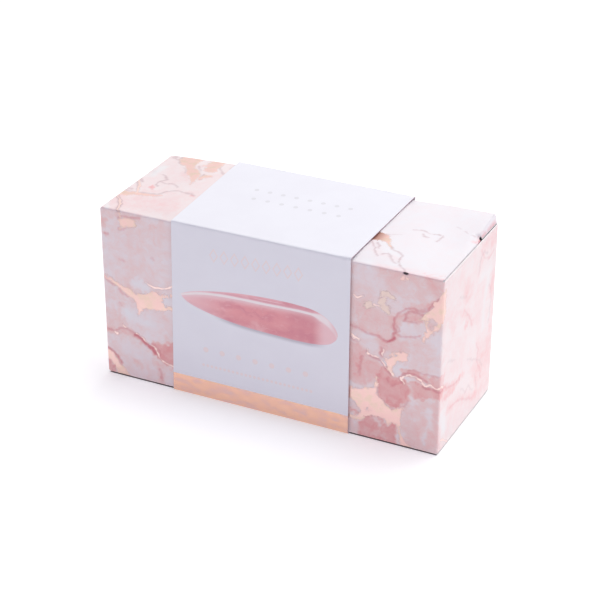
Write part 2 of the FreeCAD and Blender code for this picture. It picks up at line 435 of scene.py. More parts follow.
FOIL_PATCHES = [
    # left of the front: under the top edge, the long flame across the middle, and the corner by the base
    [(-89.4, 101.4), (-88, 99.4), (-88.4, 97.2), (-87.4, 95), (-87.2, 92.6), (-88.6, 90.2),
     (-86.4, 91.8), (-84.6, 92.6), (-83, 94), (-80.4, 93.4), (-78.6, 94.2), (-77, 95.6), (-78.2, 96.8),
     (-76.8, 98.4), (-79.4, 97.8), (-82, 98.8), (-84.6, 98.2), (-86.6, 97.4), (-86.8, 99.2),
     (-87.8, 102)],
    [(-101, 61.6), (-97.4, 61.4), (-96, 60.4), (-94, 59.8), (-92, 58.2), (-90, 57.6), (-87, 56.4),
     (-84.6, 56.2), (-82.4, 55.4), (-80, 53.8), (-78, 53.2), (-76, 54.2), (-74, 55), (-71.6, 55.8),
     (-70, 57), (-68.6, 57.8), (-66, 57.6), (-64.6, 56.4), (-63, 57.2), (-60.4, 57.2), (-55, 58),
     (-50, 58.8), (-55, 57), (-61, 56), (-63.4, 55.4), (-62.4, 53.6), (-63.2, 52), (-61.4, 50.2),
     (-58, 50.6), (-55, 50), (-49, 50.4), (-55, 48.2), (-59, 48.8), (-60.6, 48), (-62, 47),
     (-63.6, 46.8), (-66, 46.2), (-68.8, 46.4), (-71, 46), (-73.4, 45.6), (-75.4, 44.8), (-76.4, 43.4),
     (-77.6, 41), (-78.6, 40.6), (-78.6, 43), (-79, 45.4), (-79.6, 47.6), (-80.6, 49.4), (-82.4, 50.6),
     (-85, 51.6), (-87.4, 53), (-90, 54.6), (-92, 55.8), (-94, 57), (-95.6, 58.6), (-98, 60)],
    [(-103, 15), (-98.2, 13.8), (-96, 12.8), (-94.4, 11), (-93.4, 9), (-92, 7), (-90, 5.4),
     (-88.2, 3.4), (-86.6, 1), (-86, -4), (-93, -4), (-94, 2), (-95, 4.6), (-96.6, 6), (-97.6, 8),
     (-103, 9.6)],
    # right of the front: the large flame by the sleeve, the middle flake, the patch round the upper edge
    [(46, 27.2), (53, 28), (58, 29.4), (61, 30.4), (63, 32), (64, 35), (64.6, 38.8), (65.5, 38.6),
     (65.2, 34), (64.6, 31), (64.8, 28), (66, 26), (68, 25), (70, 23.6), (72, 21.6), (73.4, 20.8),
     (76, 21.6), (78, 22.6), (80.6, 24), (81.4, 24.8), (79.6, 22), (78.6, 19.5), (78.8, 15),
     (78.4, 11), (79, 7), (80.6, 4), (83.4, 2), (87, -2), (80, -3), (78.2, 3), (77.6, 8), (76.8, 11.4),
     (75.6, 12.6), (73.8, 12.4), (71.8, 10.8), (70.4, 12.6), (69.6, 13.6), (67, 14.2), (63, 14.4),
     (60.4, 13.4), (58.4, 13), (56.8, 10.8), (54.4, 9.6), (51.4, 9.4), (46, 10.4), (39, 11.8),
     (46, 11.8), (52, 11.2), (54.6, 12.6), (55.8, 14.5), (55, 17), (53, 19.2), (51, 20.8), (46, 21.6),
     (42, 22), (38, 24.6), (42, 25.6)],
    [(81.8, 54), (81.4, 52.6), (79, 51.4), (76, 50.2), (74.6, 48.6), (73.4, 47), (73.2, 44),
     (74.6, 41.4), (73.8, 40.8), (72.4, 42), (71, 44.4), (70, 46.6), (69.4, 48.4), (68, 50),
     (69.4, 50.6), (71, 49.6), (71.8, 51), (71.2, 52.6), (72.4, 53.9), (73, 54.9), (74.2, 54.2),
     (75.2, 55.6), (78, 56), (80, 56.2), (81.6, 55.4)],
    [(103, 97), (100.6, 95.8), (98.8, 94.2), (98, 92), (96.8, 90.2), (95, 88.6), (94.8, 86),
     (93.6, 84.4), (92, 82.6), (90.2, 81.8), (89.8, 80), (89, 78.6), (87.8, 77.4), (90, 77.2),
     (90.8, 75.4), (91.8, 73.6), (91.4, 71.4), (90, 70.4), (90.2, 68.4), (89.2, 66.4), (90.2, 64.8),
     (91.4, 67), (92.6, 68.6), (93, 70.6), (94.6, 71), (96, 72.6), (97.6, 73), (98.4, 74.6),
     (99.4, 77.6), (102, 79), (103.6, 84)],
    # small flakes
    [(56.4, 78.2), (57.6, 80.6), (59.4, 81), (60.8, 82), (61, 79.8), (62.2, 78.2), (60.6, 77.6),
     (59, 76.8)],
    [(64.2, 82.2), (65.4, 84.8), (66.8, 86.4), (69, 84.6), (68.2, 82.6), (69.8, 80.8), (71.2, 79.6),
     (71.6, 77), (69.8, 76.4), (68, 77.4), (66.4, 78.8), (64.6, 79.4), (66, 80.6), (64.4, 81)],
    [(65.6, 86.6), (66.2, 88.6), (68.4, 89.2), (70.2, 88.6), (72.4, 87.4), (74.4, 86.2), (73, 84.8),
     (70.6, 85.4), (69, 86.6), (67.4, 86)],
    [(75.8, 98), (77.2, 99.6), (79.4, 99.8), (80.6, 98.6), (78.6, 97.4)],
    # top panel
    on_top([(-92.6, 37.6), (-89, 38.8), (-84, 43), (-80, 43), (-79.4, 36), (-80, 31.8), (-78.4, 29.6),
            (-76.8, 29), (-74.4, 27), (-73.2, 25), (-71.2, 22.6), (-70.6, 19), (-69.8, 14),
            (-70.6, 9.4), (-71.4, 12.4), (-73.8, 15.8), (-75.8, 18.8), (-78.2, 21), (-79.6, 22.6),
            (-80.8, 25), (-82, 26.6), (-83.6, 29.4), (-86, 30.4), (-88.8, 32.6), (-90.4, 34.6)]),
    on_top([(-76.8, 33.4), (-74.4, 34.6), (-73, 33.4), (-72.4, 31), (-70.8, 28.8), (-68.6, 28.8),
            (-66.2, 29.2), (-65.8, 31.6), (-67, 34), (-66, 37), (-67, 43), (-72, 43), (-71.6, 38),
            (-74.6, 36.6)]),
    on_top([(-69.6, 22), (-67.4, 24.2), (-65, 24.4), (-63.2, 23.6), (-65.6, 21.8), (-67.8, 20),
            (-68.4, 16.6), (-69.8, 19)]),
    on_top([(-104, -13.4), (-96, -14.2), (-92, -13.2), (-86, -12.6), (-80, -11.2), (-77, -10.2),
            (-80, -13.2), (-86, -15.2), (-92, -16.8), (-96, -19.4), (-104, -22)]),
    on_top([(44, -0.3), (52, -0.6), (54.6, -2.4), (56.4, -6), (58.6, -9.6), (60.2, -12.6), (62, -16),
            (59, -13), (57, -10.4), (54.6, -9.8), (52, -8.8), (49.4, -10.2), (44, -11), (40, -8.4),
            (38, -4)]),
]

FOIL_HOLES = [
    [(92, 78.4), (94.4, 79.4), (96.2, 78.2), (97, 76.2), (95.2, 74.6), (95.8, 72.8), (93.4, 72.6),
     (92.2, 75)],
    [(72.4, 52.2), (73.6, 53.2), (75.4, 53.6), (74.6, 52.4)],
    [(58, 17), (61, 17.8), (62, 17), (60, 16.4)],
]

# Thin foil lines: half width, then the line's points
FOIL_LINES = [
    (0.44, [(-80.4, 28.8), (-77, 27.2), (-74.6, 25.4), (-72, 23.8), (-69.4, 22.8), (-68.2, 21.6),
            (-67.2, 19.6), (-66.4, 17.4), (-65, 16), (-62.4, 14.6), (-60, 13.8), (-54, 12.6)]),
    (0.50, [(-73, 61.6), (-70, 60.8), (-67, 60), (-63, 60), (-60, 60.8), (-58, 62.4), (-54, 65)]),
    (0.55, [(-94.4, 27), (-93, 25.6), (-92.2, 26.4)]),
    (0.40, [(-88.6, 32), (-87.4, 31)]),
    (0.62, [(46, 62.4), (48.5, 61), (50.6, 59.8), (52.6, 58.8), (54.6, 57.7)]),
    (0.42, [(49.2, 58.8), (51.4, 57.6)]),
    (0.38, [(58.6, 50.6), (60.6, 51), (61.6, 50.2), (64, 50), (66.6, 49), (68, 47.2), (69.6, 45.4),
            (71.4, 43.4), (72.6, 42.2), (74.4, 41)]),
    (0.34, [(58.8, 53.8), (59.6, 51.4)]),
    (0.40, [(68, 55.4), (67, 53.4), (67.4, 51.8), (68.4, 50.8), (69.6, 50.2)]),
    (0.44, [(80, 38.2), (78.4, 39.8), (78, 41.2), (79.6, 42.2), (81, 43.2), (83, 43.8), (85.4, 43.6),
            (88, 42.8), (89.6, 42), (90.2, 40.6), (91.2, 39.4), (92.4, 39), (94, 40.4), (94.8, 41),
            (95.6, 40), (96.8, 39.5), (98.6, 39.9), (101, 40.6), (104, 39)]),
    (0.50, [(50.4, 83.6), (51.8, 82.4), (53.2, 81.4), (54, 83.2), (55.8, 83.8)]),
    (0.42, [(62, 79.6), (65, 79.6)]),
    (0.75, on_top([(-100.4, 4), (-97.8, 0), (-95.6, -3), (-93.6, -7.4), (-91.6, -11.4), (-91, -14)])),
    (0.52, on_top([(-99.4, -20), (-96, -24.4), (-93.6, -27.4), (-91.6, -29.6), (-91, -32.4),
                   (-90.2, -35), (-88.6, -38.4)])),
    (0.55, on_end([(-35, 7.4), (-30.4, 5), (-26, 1.6), (-24, -1)])),
]

# Dark rose veins, and a painted seam shade along the lid's right end edge: half width, strength, then the
# line's points
DARK_LINES = [
    (0.55, 0.50, [(79.4, 81.4), (82, 82.4), (84.6, 83), (88, 82.2), (90.6, 82.8), (92.6, 84.4),
                  (94.6, 87.8), (97, 91)]),
    (0.75, 0.55, [(79.6, 75.2), (79.8, 78.4), (82, 80.4), (86, 81.4), (89.4, 80.4)]),
    (0.55, 0.45, [(79.6, 75.2), (83, 74.8), (86, 75)]),
    (0.55, 0.42, [(73.6, 73), (74.8, 76.4), (77.4, 79.6), (80.4, 81.8), (84, 83), (89, 82.6), (93, 85),
                  (96, 89)]),
    (0.50, 0.45, [(57, 63.4), (53, 64.4), (48, 66)]),
    (0.65, 0.70, [(73.6, 74.8), (73, 70), (74.6, 67), (73.6, 64.4), (72.8, 62.6), (70.6, 61.2),
                  (68, 61)]),
    (0.70, 1.00, [(74, 63.6), (72.6, 62.2), (70.2, 60.8)]),
    (0.50, 0.50, [(68, 61), (64, 62.4), (60, 63.2), (57, 63.4)]),
    (0.50, 0.40, [(75, 66), (78, 65.4), (81, 65.4), (84.6, 66.2), (88, 68.2)]),
    (0.50, 0.45, [(74.6, 66), (76, 68.6), (74.6, 71.2)]),
    (0.45, 0.50, [(66.6, 56), (66, 53.4), (67, 50.6)]),
    (0.50, 0.55, [(58.4, 52.4), (60, 50), (64, 49), (67, 47.6), (70, 43.8), (72.6, 41)]),
    (0.45, 0.35, [(48, 59), (51, 57), (54, 56)]),
    (0.50, 0.60, [(78.6, 38.6), (77, 40.8), (79, 43.4), (82, 45), (86, 45), (89, 43.6), (91, 43),
                  (93, 41.8)]),
    (0.50, 0.60, [(90.4, 39.4), (92.4, 38), (95.6, 38.6), (99, 38.2), (104, 37)]),
    (0.40, 0.35, [(82, 46.4), (86, 47), (90, 46.2), (96, 46.4), (102, 47)]),
    (0.45, 0.35, [(65.6, 31), (65.4, 27), (68, 24.6), (72.2, 20.8), (74, 20.4), (78, 22), (80.6, 25),
                  (82.6, 28.4)]),
    (0.45, 0.30, [(70, 39), (71.4, 36), (73.6, 34.6), (76, 36)]),
    (0.50, 0.35, [(54, 38), (55.6, 43), (56, 48)]),
    (0.40, 0.35, [(66, 21.4), (68.4, 20.4), (70, 19.4)]),
    (0.45, 0.45, [(57, 12.4), (60.4, 14), (64, 14.8)]),
    (0.85, 0.95, [(-81, 28), (-78.6, 27), (-76, 25), (-73, 23), (-70.4, 21.4), (-68.6, 19)]),
    (0.70, 1.00, [(-76.4, 25), (-74, 22.8), (-71.6, 21.2)]),
    (0.45, 0.80, [(-79.4, 27.8), (-76.6, 26.2), (-73.6, 24.2)]),
    (0.60, 0.50, [(-70, 24.8), (-67.6, 23.4), (-66.4, 21.4), (-66, 18.4)]),
    (0.55, 0.42, [(-102, 27.4), (-95, 27.6), (-90, 29.8), (-86, 30.2), (-81, 28.6)]),
    (0.50, 0.45, [(-90.6, 54), (-88, 52), (-84.6, 50.8)]),
    (0.50, 0.40, [(-99, 60.2), (-95.6, 57.6), (-93.4, 56)]),
    (0.60, 0.70, [(-102, 16), (-98.4, 14.8), (-95.6, 13.4), (-93, 10.8), (-91, 8)]),
    (0.50, 0.40, [(-88.6, 98), (-86, 99.4), (-80, 99.2), (-75, 100)]),
    (0.50, 0.35, [(-88.8, 91), (-86, 90.8), (-84, 92)]),
    (0.60, 0.45, [(-98, 87), (-96.4, 86.4), (-95.4, 86.6)]),
    (0.55, 0.30, [(-88.4, 73), (-86.4, 72.2)]),
    (0.60, 0.25, [(-69, 78), (-67.4, 76.6)]),
    (0.50, 0.40, [(-66.4, 9.4), (-65.6, 6), (-64.6, 3)]),
    (0.50, 0.30, [(-90.6, 45.8), (-89, 44.2)]),
    # painted shade of the seam along the lid's right end edge, from its notch to its back corner; not a vein
    (0.50, 0.60, on_top([(99.2, 11), (99.3, 24), (99.1, 35)])),
    (0.45, 0.32, on_end([(-38, 39.6), (-31, 37.6), (-26, 34.6), (-18, 32), (-10, 31.6)])),
    (0.45, 0.24, on_end([(-8, 71), (-3, 67), (1, 62.4), (4, 57)])),
    (0.45, 0.26, on_end([(13, 41), (16, 35), (15, 29), (20, 22), (22, 15)])),
    (0.45, 0.24, on_end([(-24, 20.4), (-14, 20), (-5, 16.4), (2, 12.6), (10, 9)])),
    (0.45, 0.24, on_end([(14, 96), (18, 90), (26, 86), (33, 88)])),
]

# Grey-mauve veins, and the painted shade of a nick in the lid's front crease: half width, strength, then the
# line's points
GREY_LINES = [
    (0.55, 0.55, on_top([(-101, 40), (-97, 38), (-94, 36), (-91.4, 34.8), (-89, 32.4), (-86, 30.4)])),
    (0.45, 0.40, on_top([(-92, 37), (-93, 35)])),
    (0.55, 0.55, on_top([(-66, 36.4), (-64.6, 34.6), (-62, 32), (-59.6, 29.4)])),
    (0.45, 0.45, on_top([(-61, 39.6), (-60, 37.6)])),
    (0.60, 0.55, on_top([(-69.6, 24.6), (-69, 20), (-68, 17)])),
    (0.50, 0.45, on_top([(-77.4, 33), (-76, 30.4), (-73.4, 28.4)])),
    (0.50, 0.40, on_top([(-84, 27.4), (-81.6, 25), (-80, 21.6)])),
    (0.50, 0.60, on_top([(-90.6, 14), (-88.6, 13), (-86.4, 11), (-84.8, 9.4), (-85, 7.4), (-86.6, 5.4),
                         (-87.8, 3), (-87, 0.4)])),
    (0.60, 0.60, on_top([(-86.2, 10.6), (-84.8, 9.6)])),
    (0.48, 0.60, on_top([(-86.6, 5), (-84, 3.8), (-82, 3.6), (-80, 5.2), (-78, 5), (-76, 3.4),
                         (-74.2, 2.4)])),
    (0.60, 0.75, on_top([(-85.8, -0.4), (-85, -0.8)])),
    (0.65, 0.55, on_top([(-99.4, 4.4), (-97, 2), (-95.4, 0.6)])),
    (0.60, 0.60, on_top([(-99, 0), (-96.8, -3.4), (-94.6, -5.6), (-92.8, -9.4)])),
    (0.80, 0.45, on_top([(-99.6, -10.4), (-96, -10.8)])),
    (0.50, 0.45, on_top([(-99.6, -13), (-94, -13.2), (-88, -12), (-80, -10.4)])),
    (0.50, 0.40, on_top([(-98, -18.6), (-91, -15.6), (-86, -14.4), (-78, -12)])),
    (0.85, 0.70, on_top([(-99.4, -20), (-96, -24.8), (-93.2, -28), (-91, -31), (-90.4, -35),
                         (-88.6, -38.4)])),
    (0.80, 0.50, on_top([(-66.2, -1.7), (-63.2, -1.6), (-61.6, -3)])),
    (0.50, 0.52, on_top([(-79, -10), (-77.6, -6), (-75, -3), (-71.4, -1.4), (-66, -1.4)])),
    (0.38, 0.60, on_top([(47, -10), (51, -15), (53.4, -17.4), (54, -20.6), (56, -23.6), (58.4, -25.8)])),
    (0.38, 0.55, on_top([(52, -12), (54, -14.6), (55.6, -18)])),
    (0.50, 0.55, on_top([(59.6, -23.4), (62, -22), (64.4, -23.4), (66, -26.6), (67.6, -29), (70, -31)])),
    (0.50, 0.58, on_top([(60, -13), (61.6, -15.2), (64, -16.6), (67.4, -18.4), (69.6, -20.4),
                         (70.4, -24), (70.8, -28), (73, -31.6), (76.4, -34.6), (79, -38)])),
    (0.38, 0.55, on_top([(63, 10), (66, 11), (68, 11.4), (70, 10.4), (72, 9), (75, 9.6), (78, 10)])),
    (0.38, 0.52, on_top([(68.6, 7.4), (71, 5.4), (73.6, 4.6)])),
    (0.38, 0.55, on_top([(79.6, 9.8), (79.8, 6), (79, 2.2)])),
    (0.40, 0.32, on_top([(82, 23.2), (83.8, 21.8)])),
    (0.40, 0.36, on_top([(88, 19.8), (89.8, 18)])),
    (0.50, 0.36, on_top([(92.6, 17), (94.8, 15.8)])),
    (0.40, 0.26, on_top([(50, -2), (54, -1), (59.4, 1.4)])),
    # painted shade of a nick in the lid's front crease, not a vein: its strength above 1 turns it near-black
    (0.55, 2.40, [(78, 101.7), (79.6, 101.7)]),
    (0.50, 0.32, on_end([(11.4, 83), (12.4, 88), (13.6, 91.4), (18, 94), (24, 90)])),
    (0.45, 0.30, on_end([(0, 38), (8, 34), (14, 31), (20, 27), (24, 22)])),
    (0.45, 0.26, on_end([(-8, 24.4), (0, 18), (3, 20.4), (6, 18), (10, 14)])),
    (0.45, 0.26, on_end([(12, 23), (14, 19), (15.4, 13.6)])),
    (0.50, 0.22, on_end([(-15, 82), (-8, 79), (-5, 78)])),
    (0.50, 0.22, on_end([(-28, 51), (-18, 47)])),
    (0.50, 0.26, on_end([(28, 70), (31, 66), (32, 58), (30, 46)])),
]

# Watercolour washes, and a painted shade along the lid's right end edge, laid one over another: reach beyond
# the line or outline, softness, how pink the wash dries (0 pale lilac, 1 deep rose), then the points. Three
# points or more with "area" make a filled shape.
WASHES = [
    # front, left
    ("line", 2.6, 4.0, 0.62, [(-103, 93), (-98, 93.2)]),
    ("line", 0.8, 3.0, 0.45, [(-98, 86.6), (-95.6, 86)]),
    ("line", 1.0, 2.4, 0.52, [(-68.8, 96.4), (-66.6, 96.4)]),
    ("line", 3.0, 5.0, 0.42, [(-92, 100), (-76, 100)]),
    ("line", 1.4, 3.0, 0.38, [(-80, 81), (-77.4, 80)]),
    ("line", 1.2, 3.0, 0.40, [(-88, 72.8), (-86, 72)]),
    ("line", 1.2, 3.0, 0.34, [(-69, 77.6), (-67.4, 76.6)]),
    ("line", 4.0, 8.0, 0.30, [(-92, 66), (-70, 66)]),
    ("line", 3.4, 4.0, 0.04, [(-79, 60), (-74, 58.6)]),
    ("line", 2.4, 4.0, 0.10, [(-61, 54), (-57, 53)]),
    ("line", 2.0, 3.4, 0.44, [(-90.4, 45.4), (-89.2, 44)]),
    ("line", 2.2, 4.0, 0.42, [(-92, 40), (-91, 33)]),
    ("line", 3.0, 6.0, 0.06, [(-86, 41), (-80, 38), (-72, 38)]),
    ("line", 2.4, 5.0, 0.36, [(-63, 44), (-61, 31)]),
    ("line", 3.0, 6.0, 0.20, [(-86, 18), (-76, 16)]),
    ("line", 1.8, 3.4, 0.64, [(-104, 27), (-95, 27)]),
    ("line", 1.6, 3.4, 0.58, [(-95, 27), (-88, 29), (-82, 27.6), (-76, 24.6)]),
    ("area", 0.4, 3.0, 0.84, [(-72, 22), (-69, 25), (-64, 24.6), (-60, 27), (-54, 30), (-50, 26),
                              (-48, 19), (-51, 14), (-54, 12), (-60, 13), (-65, 15), (-68, 18)]),
    ("line", 2.2, 4.0, 0.50, [(-67, 11), (-65, 4), (-64, -2)]),
    ("line", 1.6, 3.0, 0.46, [(-82, 11), (-78, 9)]),
    ("line", 1.0, 3.0, 0.60, [(-101, 15), (-95, 12.4), (-91, 7)]),
    ("area", 0.4, 1.6, 0.86, [(-103, 9), (-98, 7.4), (-96, 5), (-95, 2), (-95, -3), (-103, -3)]),
    # front, right
    ("area", 0.0, 9.0, 0.42, [(63, 104), (90, 104), (92, 86), (78, 86), (66, 92)]),
    ("area", 0.5, 5.0, 0.56, [(90, 104), (104, 104), (103, 92), (97, 91), (92, 96)]),
    ("area", 0.0, 7.0, 0.46, [(46, 82), (56, 80), (66, 76), (74, 72), (73, 63), (60, 64), (46, 62),
                              (40, 62), (35, 68), (39, 78)]),
    ("area", 0.5, 3.4, 0.64, [(79.4, 75), (80, 79), (83, 81), (89, 80.6), (91, 78), (88, 75.4),
                              (84, 75)]),
    ("line", 1.4, 3.0, 0.60, [(84, 83), (92, 84.6), (96, 89)]),
    ("line", 2.6, 3.0, 0.24, [(78, 70), (82, 70), (85, 68.6)]),
    ("line", 1.6, 3.4, 0.62, [(73.4, 73), (74.6, 67), (73, 63)]),
    ("line", 1.4, 4.4, 0.60, [(48, 66), (53, 65), (58, 63.8), (66, 62.4)]),
    ("line", 1.2, 4.6, 0.60, [(74, 71), (75.6, 76), (79, 79.6)]),
    ("area", 0.5, 4.0, 0.52, [(66, 60), (74, 62), (86, 64), (86, 60), (80, 57), (72, 56), (66, 52)]),
    ("area", 0.5, 3.0, 0.24, [(58.4, 61), (63.4, 61.4), (65, 57.6), (63, 53.6), (59.4, 54.4)]),
    ("area", 0.0, 6.0, 0.36, [(82, 65), (102, 66), (102, 49), (88, 48.6), (83, 56)]),
    ("area", 0.0, 4.0, 0.62, [(46, 57), (56, 55), (58, 50), (60, 44), (57, 33), (51, 32), (46, 34),
                              (39, 36), (34, 44), (40, 54)]),
    ("line", 1.0, 2.6, 0.74, [(53.6, 37), (55.4, 42), (56, 48)]),
    ("area", 0.0, 4.0, 0.66, [(58, 49), (66, 47), (70, 42), (66, 38), (60, 34), (58, 40)]),
    ("line", 1.8, 3.4, 0.14, [(76, 46), (79, 47.4)]),
    ("line", 1.6, 3.0, 0.62, [(80, 45), (86, 45.4), (92, 43.4), (104, 44)]),
    ("area", 0.3, 2.0, 0.82, [(66, 36), (66, 30), (65.6, 27), (68, 25.4), (70.6, 24), (72.6, 21.6),
                              (74, 21.4), (77, 22.6), (80, 26), (83, 29.4), (82, 34), (81, 38.6),
                              (78, 40.6), (74, 42), (69, 45.6), (66, 43)]),
    ("line", 1.0, 3.0, 0.92, [(71, 39), (73.4, 36.4), (77, 37.4)]),
    ("line", 1.2, 2.6, 0.90, [(71, 26), (75, 24), (79, 27)]),
    ("area", 0.2, 1.8, 0.72, [(81, 39), (83, 32), (86, 31.6), (91, 32), (95, 33), (104, 33.6),
                              (104, 38), (92, 38.6), (88, 41)]),
    ("line", 1.2, 2.6, 0.44, [(83.6, 36), (84, 31)]),
    ("area", 0.0, 5.0, 0.49, [(81, 28), (102, 31), (103, 0), (82, 0), (80, 12)]),
    ("line", 1.0, 4.0, 0.42, [(84, 13), (88, 18), (94, 24)]),
    ("line", 1.4, 4.0, 0.22, [(92, 6), (95, 16), (94, 27)]),
    ("area", 0.3, 2.2, 0.84, [(56.4, 9.6), (58, 12.2), (60.6, 12.8), (63, 13.6), (66, 13.4),
                              (69, 12.4), (70.6, 10.6), (72, 10.4), (74.4, 12), (75.8, 10), (76.4, 6),
                              (76.4, -2), (57, -2), (55, 5)]),
    ("line", 1.2, 2.4, 0.40, [(64, 12), (68, 11)]),
    ("line", 1.6, 3.0, 0.62, [(61, 3), (66, 6), (70, 3)]),
    ("line", 3.0, 3.4, 0.42, [(48, 5), (53, 4)]),
    ("area", 0.0, 2.0, 0.36, [(46, 21), (51, 20.4), (55, 16), (53, 12), (46, 12), (40, 15)]),
    ("line", 0.8, 2.0, 0.86, [(50, 14.6), (54, 13.6)]),
    ("line", 2.0, 2.0, 0.54, [(93, 78), (96, 76), (94, 73)]),
    # top, left
    ("area", 0.0, 8.0, 0.38, on_top([(-100, -20), (-94, -16), (-78, -12), (-64, -6), (-62, -30),
                                     (-90, -36)])),
    ("line", 3.0, 8.0, 0.40, on_top([(-95, -30), (-88, -26)])),
    ("line", 2.0, 8.0, 0.36, on_top([(-68, -28), (-64, -24)])),
    ("line", 2.0, 5.0, 0.36, on_top([(-92, -6), (-86, -9), (-76, -6), (-66, -2)])),
    ("line", 3.0, 6.0, 0.28, on_top([(-92, 10), (-88, 20)])),
    ("line", 1.0, 2.6, 0.84, on_top([(-88, -2), (-86.4, -5)])),
    ("line", 0.6, 2.4, 0.62, on_top([(-62, -2.8), (-61, -4.4)])),
    ("line", 1.4, 4.0, 0.34, on_top([(-81, 22), (-74, 13)])),
    ("line", 2.4, 5.0, 0.02, on_top([(-96, 24), (-95, 12)])),
    ("line", 1.4, 3.0, 0.02, on_top([(-100, -34), (-96, -36)])),
    # top, right
    ("line", 2.0, 6.0, 0.18, on_top([(50, -14), (58, -24), (68, -26)])),
    # painted shade along the lid's right end edge, where it curves down to the seam, drawn as a rose wash
    ("line", 1.2, 3.4, 0.62, on_top([(98.6, 10), (98.0, 33)])),
    # right end
    ("line", 5.0, 7.0, 0.50, on_end([(-6, 84), (-2, 79)])),
    ("line", 1.2, 3.0, 0.66, on_end([(-5, 61.6), (-3, 60)])),
    ("line", 2.6, 5.0, 0.48, on_end([(-26, 73), (-21, 66)])),
    ("line", 2.4, 5.0, 0.52, on_end([(33, 72), (35, 54), (33, 36)])),
    ("line", 5.0, 6.0, 0.46, on_end([(13, 27), (19, 18)])),
    ("line", 1.4, 3.0, 0.66, on_end([(-38, 36), (-30, 31), (-20, 29.6), (-10, 33)])),
    ("line", 2.4, 9.0, 0.40, on_end([(-42, 78), (-30, 77), (-12, 73)])),
    ("line", 2.2, 6.0, 0.54, on_end([(-10, 71), (-2, 65), (4.4, 57)])),
    ("area", 0.0, 8.0, 0.30, on_end([(-40, 104), (-6, 104), (-10, 88), (-38, 88)])),
    ("line", 4.0, 8.0, 0.29, on_end([(-34, 62), (-20, 58), (0, 50), (14, 58), (12, 74)])),
    ("line", 1.8, 5.0, 0.74, on_end([(-42, 41), (-34, 38), (-28, 35), (-20, 32.6)])),
    ("line", 1.4, 4.0, 0.60, on_end([(-20, 32.6), (-12, 31), (-4, 31.4)])),
    ("line", 2.0, 5.0, 0.52, on_end([(-27, 21), (-16, 20.6), (-6, 17), (0, 14), (10, 10), (34, 6)])),
    ("area", 0.0, 8.0, 0.46, on_end([(16, 40), (37, 36), (38, 6), (22, 8), (14, 24)])),
    ("area", 0.0, 4.0, 0.46, on_end([(11, 84), (14, 100), (37, 100), (36, 90), (22, 92)])),
    ("line", 1.8, 4.0, 0.50, on_end([(30, 68), (34, 56), (33, 46)])),
    ("line", 3.4, 6.0, 0.02, on_end([(-34, 20), (-30, 12)])),
    ("line", 3.0, 6.0, 0.10, on_end([(16, 80), (28, 78), (22, 62), (22, 48)])),
]


# Under the sleeve: left, right, lower and upper edge on the blank, and how many veins start there
COVERED_AREAS = ((-52, 42, 4, 98, 4), (-50, 40, 108, 172, 3))


def scattered_lines():
    """Seeded veins, flakes and washes for the parts of the front and the top that the sleeve covers."""
    draw = random.Random(11)
    patches, lines, dark, washes = [], [], [], []
    for u0, u1, v0, v1, number in COVERED_AREAS:
        for k in range(number):
            heading = draw.choice((-0.7, -0.5, 0.5, 2.6)) + draw.uniform(-0.3, 0.3)
            start = (u0 + (u1 - u0) * (k + draw.random()) / number, draw.uniform(v0, v1))
            vein = wander(draw, start, heading, draw.randint(6, 11), (u0, u1, v0, v1))
            pink = draw.uniform(0.5, 0.8)
            washes.append(("line", draw.uniform(0.8, 1.8), draw.uniform(3.0, 5.0), pink, vein))
            washes.append(("line", 5.0, 12.0, 0.36, vein[1:5]))
            dark.append((draw.uniform(0.4, 0.7), draw.uniform(0.45, 0.85), vein[1:-1]))
            lines.append((draw.uniform(0.35, 0.55), vein[:-2]))
            for branch_from in (2, 4):
                turn = heading + draw.choice((-0.9, 0.9))
                branch = wander(draw, vein[branch_from], turn, draw.randint(2, 5), (u0, u1, v0, v1))
                washes.append(("line", 0.8, 3.0, pink * 0.9, branch))
                dark.append((0.4, draw.uniform(0.3, 0.6), branch))
                if draw.random() < 0.4:
                    lines.append((0.35, branch))
            if draw.random() < 0.7:
                patches.append(flake(draw, vein[2], draw.uniform(4.0, 8.0), heading))
    return patches, lines, dark, washes


def wander(draw, start, heading, count, limits):
    """A crooked line of steps from a place, kept within limits."""
    u, v = start
    line = [start]
    for _ in range(count):
        heading += draw.uniform(-0.6, 0.6)
        stride = draw.uniform(3.0, 8.0)
        u = min(max(u + stride * math.cos(heading), limits[0]), limits[1])
        v = min(max(v + stride * math.sin(heading), limits[2]), limits[3])
        line.append((u, v))
    return line


def flake(draw, centre, size, heading):
    """A jagged, stretched flake of foil."""
    outline = []
    count = 14
    for k in range(count):
        angle = math.tau * k / count
        reach = size * (draw.uniform(0.75, 1.15) if k % 2 else draw.uniform(0.3, 0.6))
        a, b = reach * math.cos(angle) * 1.5, reach * math.sin(angle) * 0.7
        outline.append((
            centre[0] + a * math.cos(heading) - b * math.sin(heading),
            centre[1] + a * math.sin(heading) + b * math.cos(heading),
        ))
    return outline


def line_distance(u, v, points):
    """Distance from each place to a line through the points."""
    best = np.full(u.shape, 1e9)
    for (x0, y0), (x1, y1) in zip(points[:-1], points[1:]):
        dx, dy = x1 - x0, y1 - y0
        t = np.clip(((u - x0) * dx + (v - y0) * dy) / (dx * dx + dy * dy + 1e-12), 0, 1)
        best = np.minimum(best, np.hypot(u - x0 - t * dx, v - y0 - t * dy))
    return best


def inside(u, v, points):
    """True where a place lies within the outline."""
    found = np.zeros(u.shape, bool)
    for (x0, y0), (x1, y1) in zip(points, points[1:] + points[:1]):
        crosses = (y0 > v) != (y1 > v)
        at = x0 + (v - y0) / (y1 - y0 + 1e-12) * (x1 - x0)
        found ^= crosses & (u < at)
    return found


def outline_distance(u, v, points):
    """Signed distance to an outline, negative inside."""
    away = line_distance(u, v, points + points[:1])
    return np.where(inside(u, v, points), -away, away)


EXTRA = scattered_lines()


# How pink the paper's ground is before any wash, from 0 (pale lilac) to 1 (deep rose)
SIDE_TINT, SIDE_TINT_DRIFT, END_TINT = 0.31, 0.04, 0.28
LID_TINT, LID_TINT_DROP = 0.25, 0.21


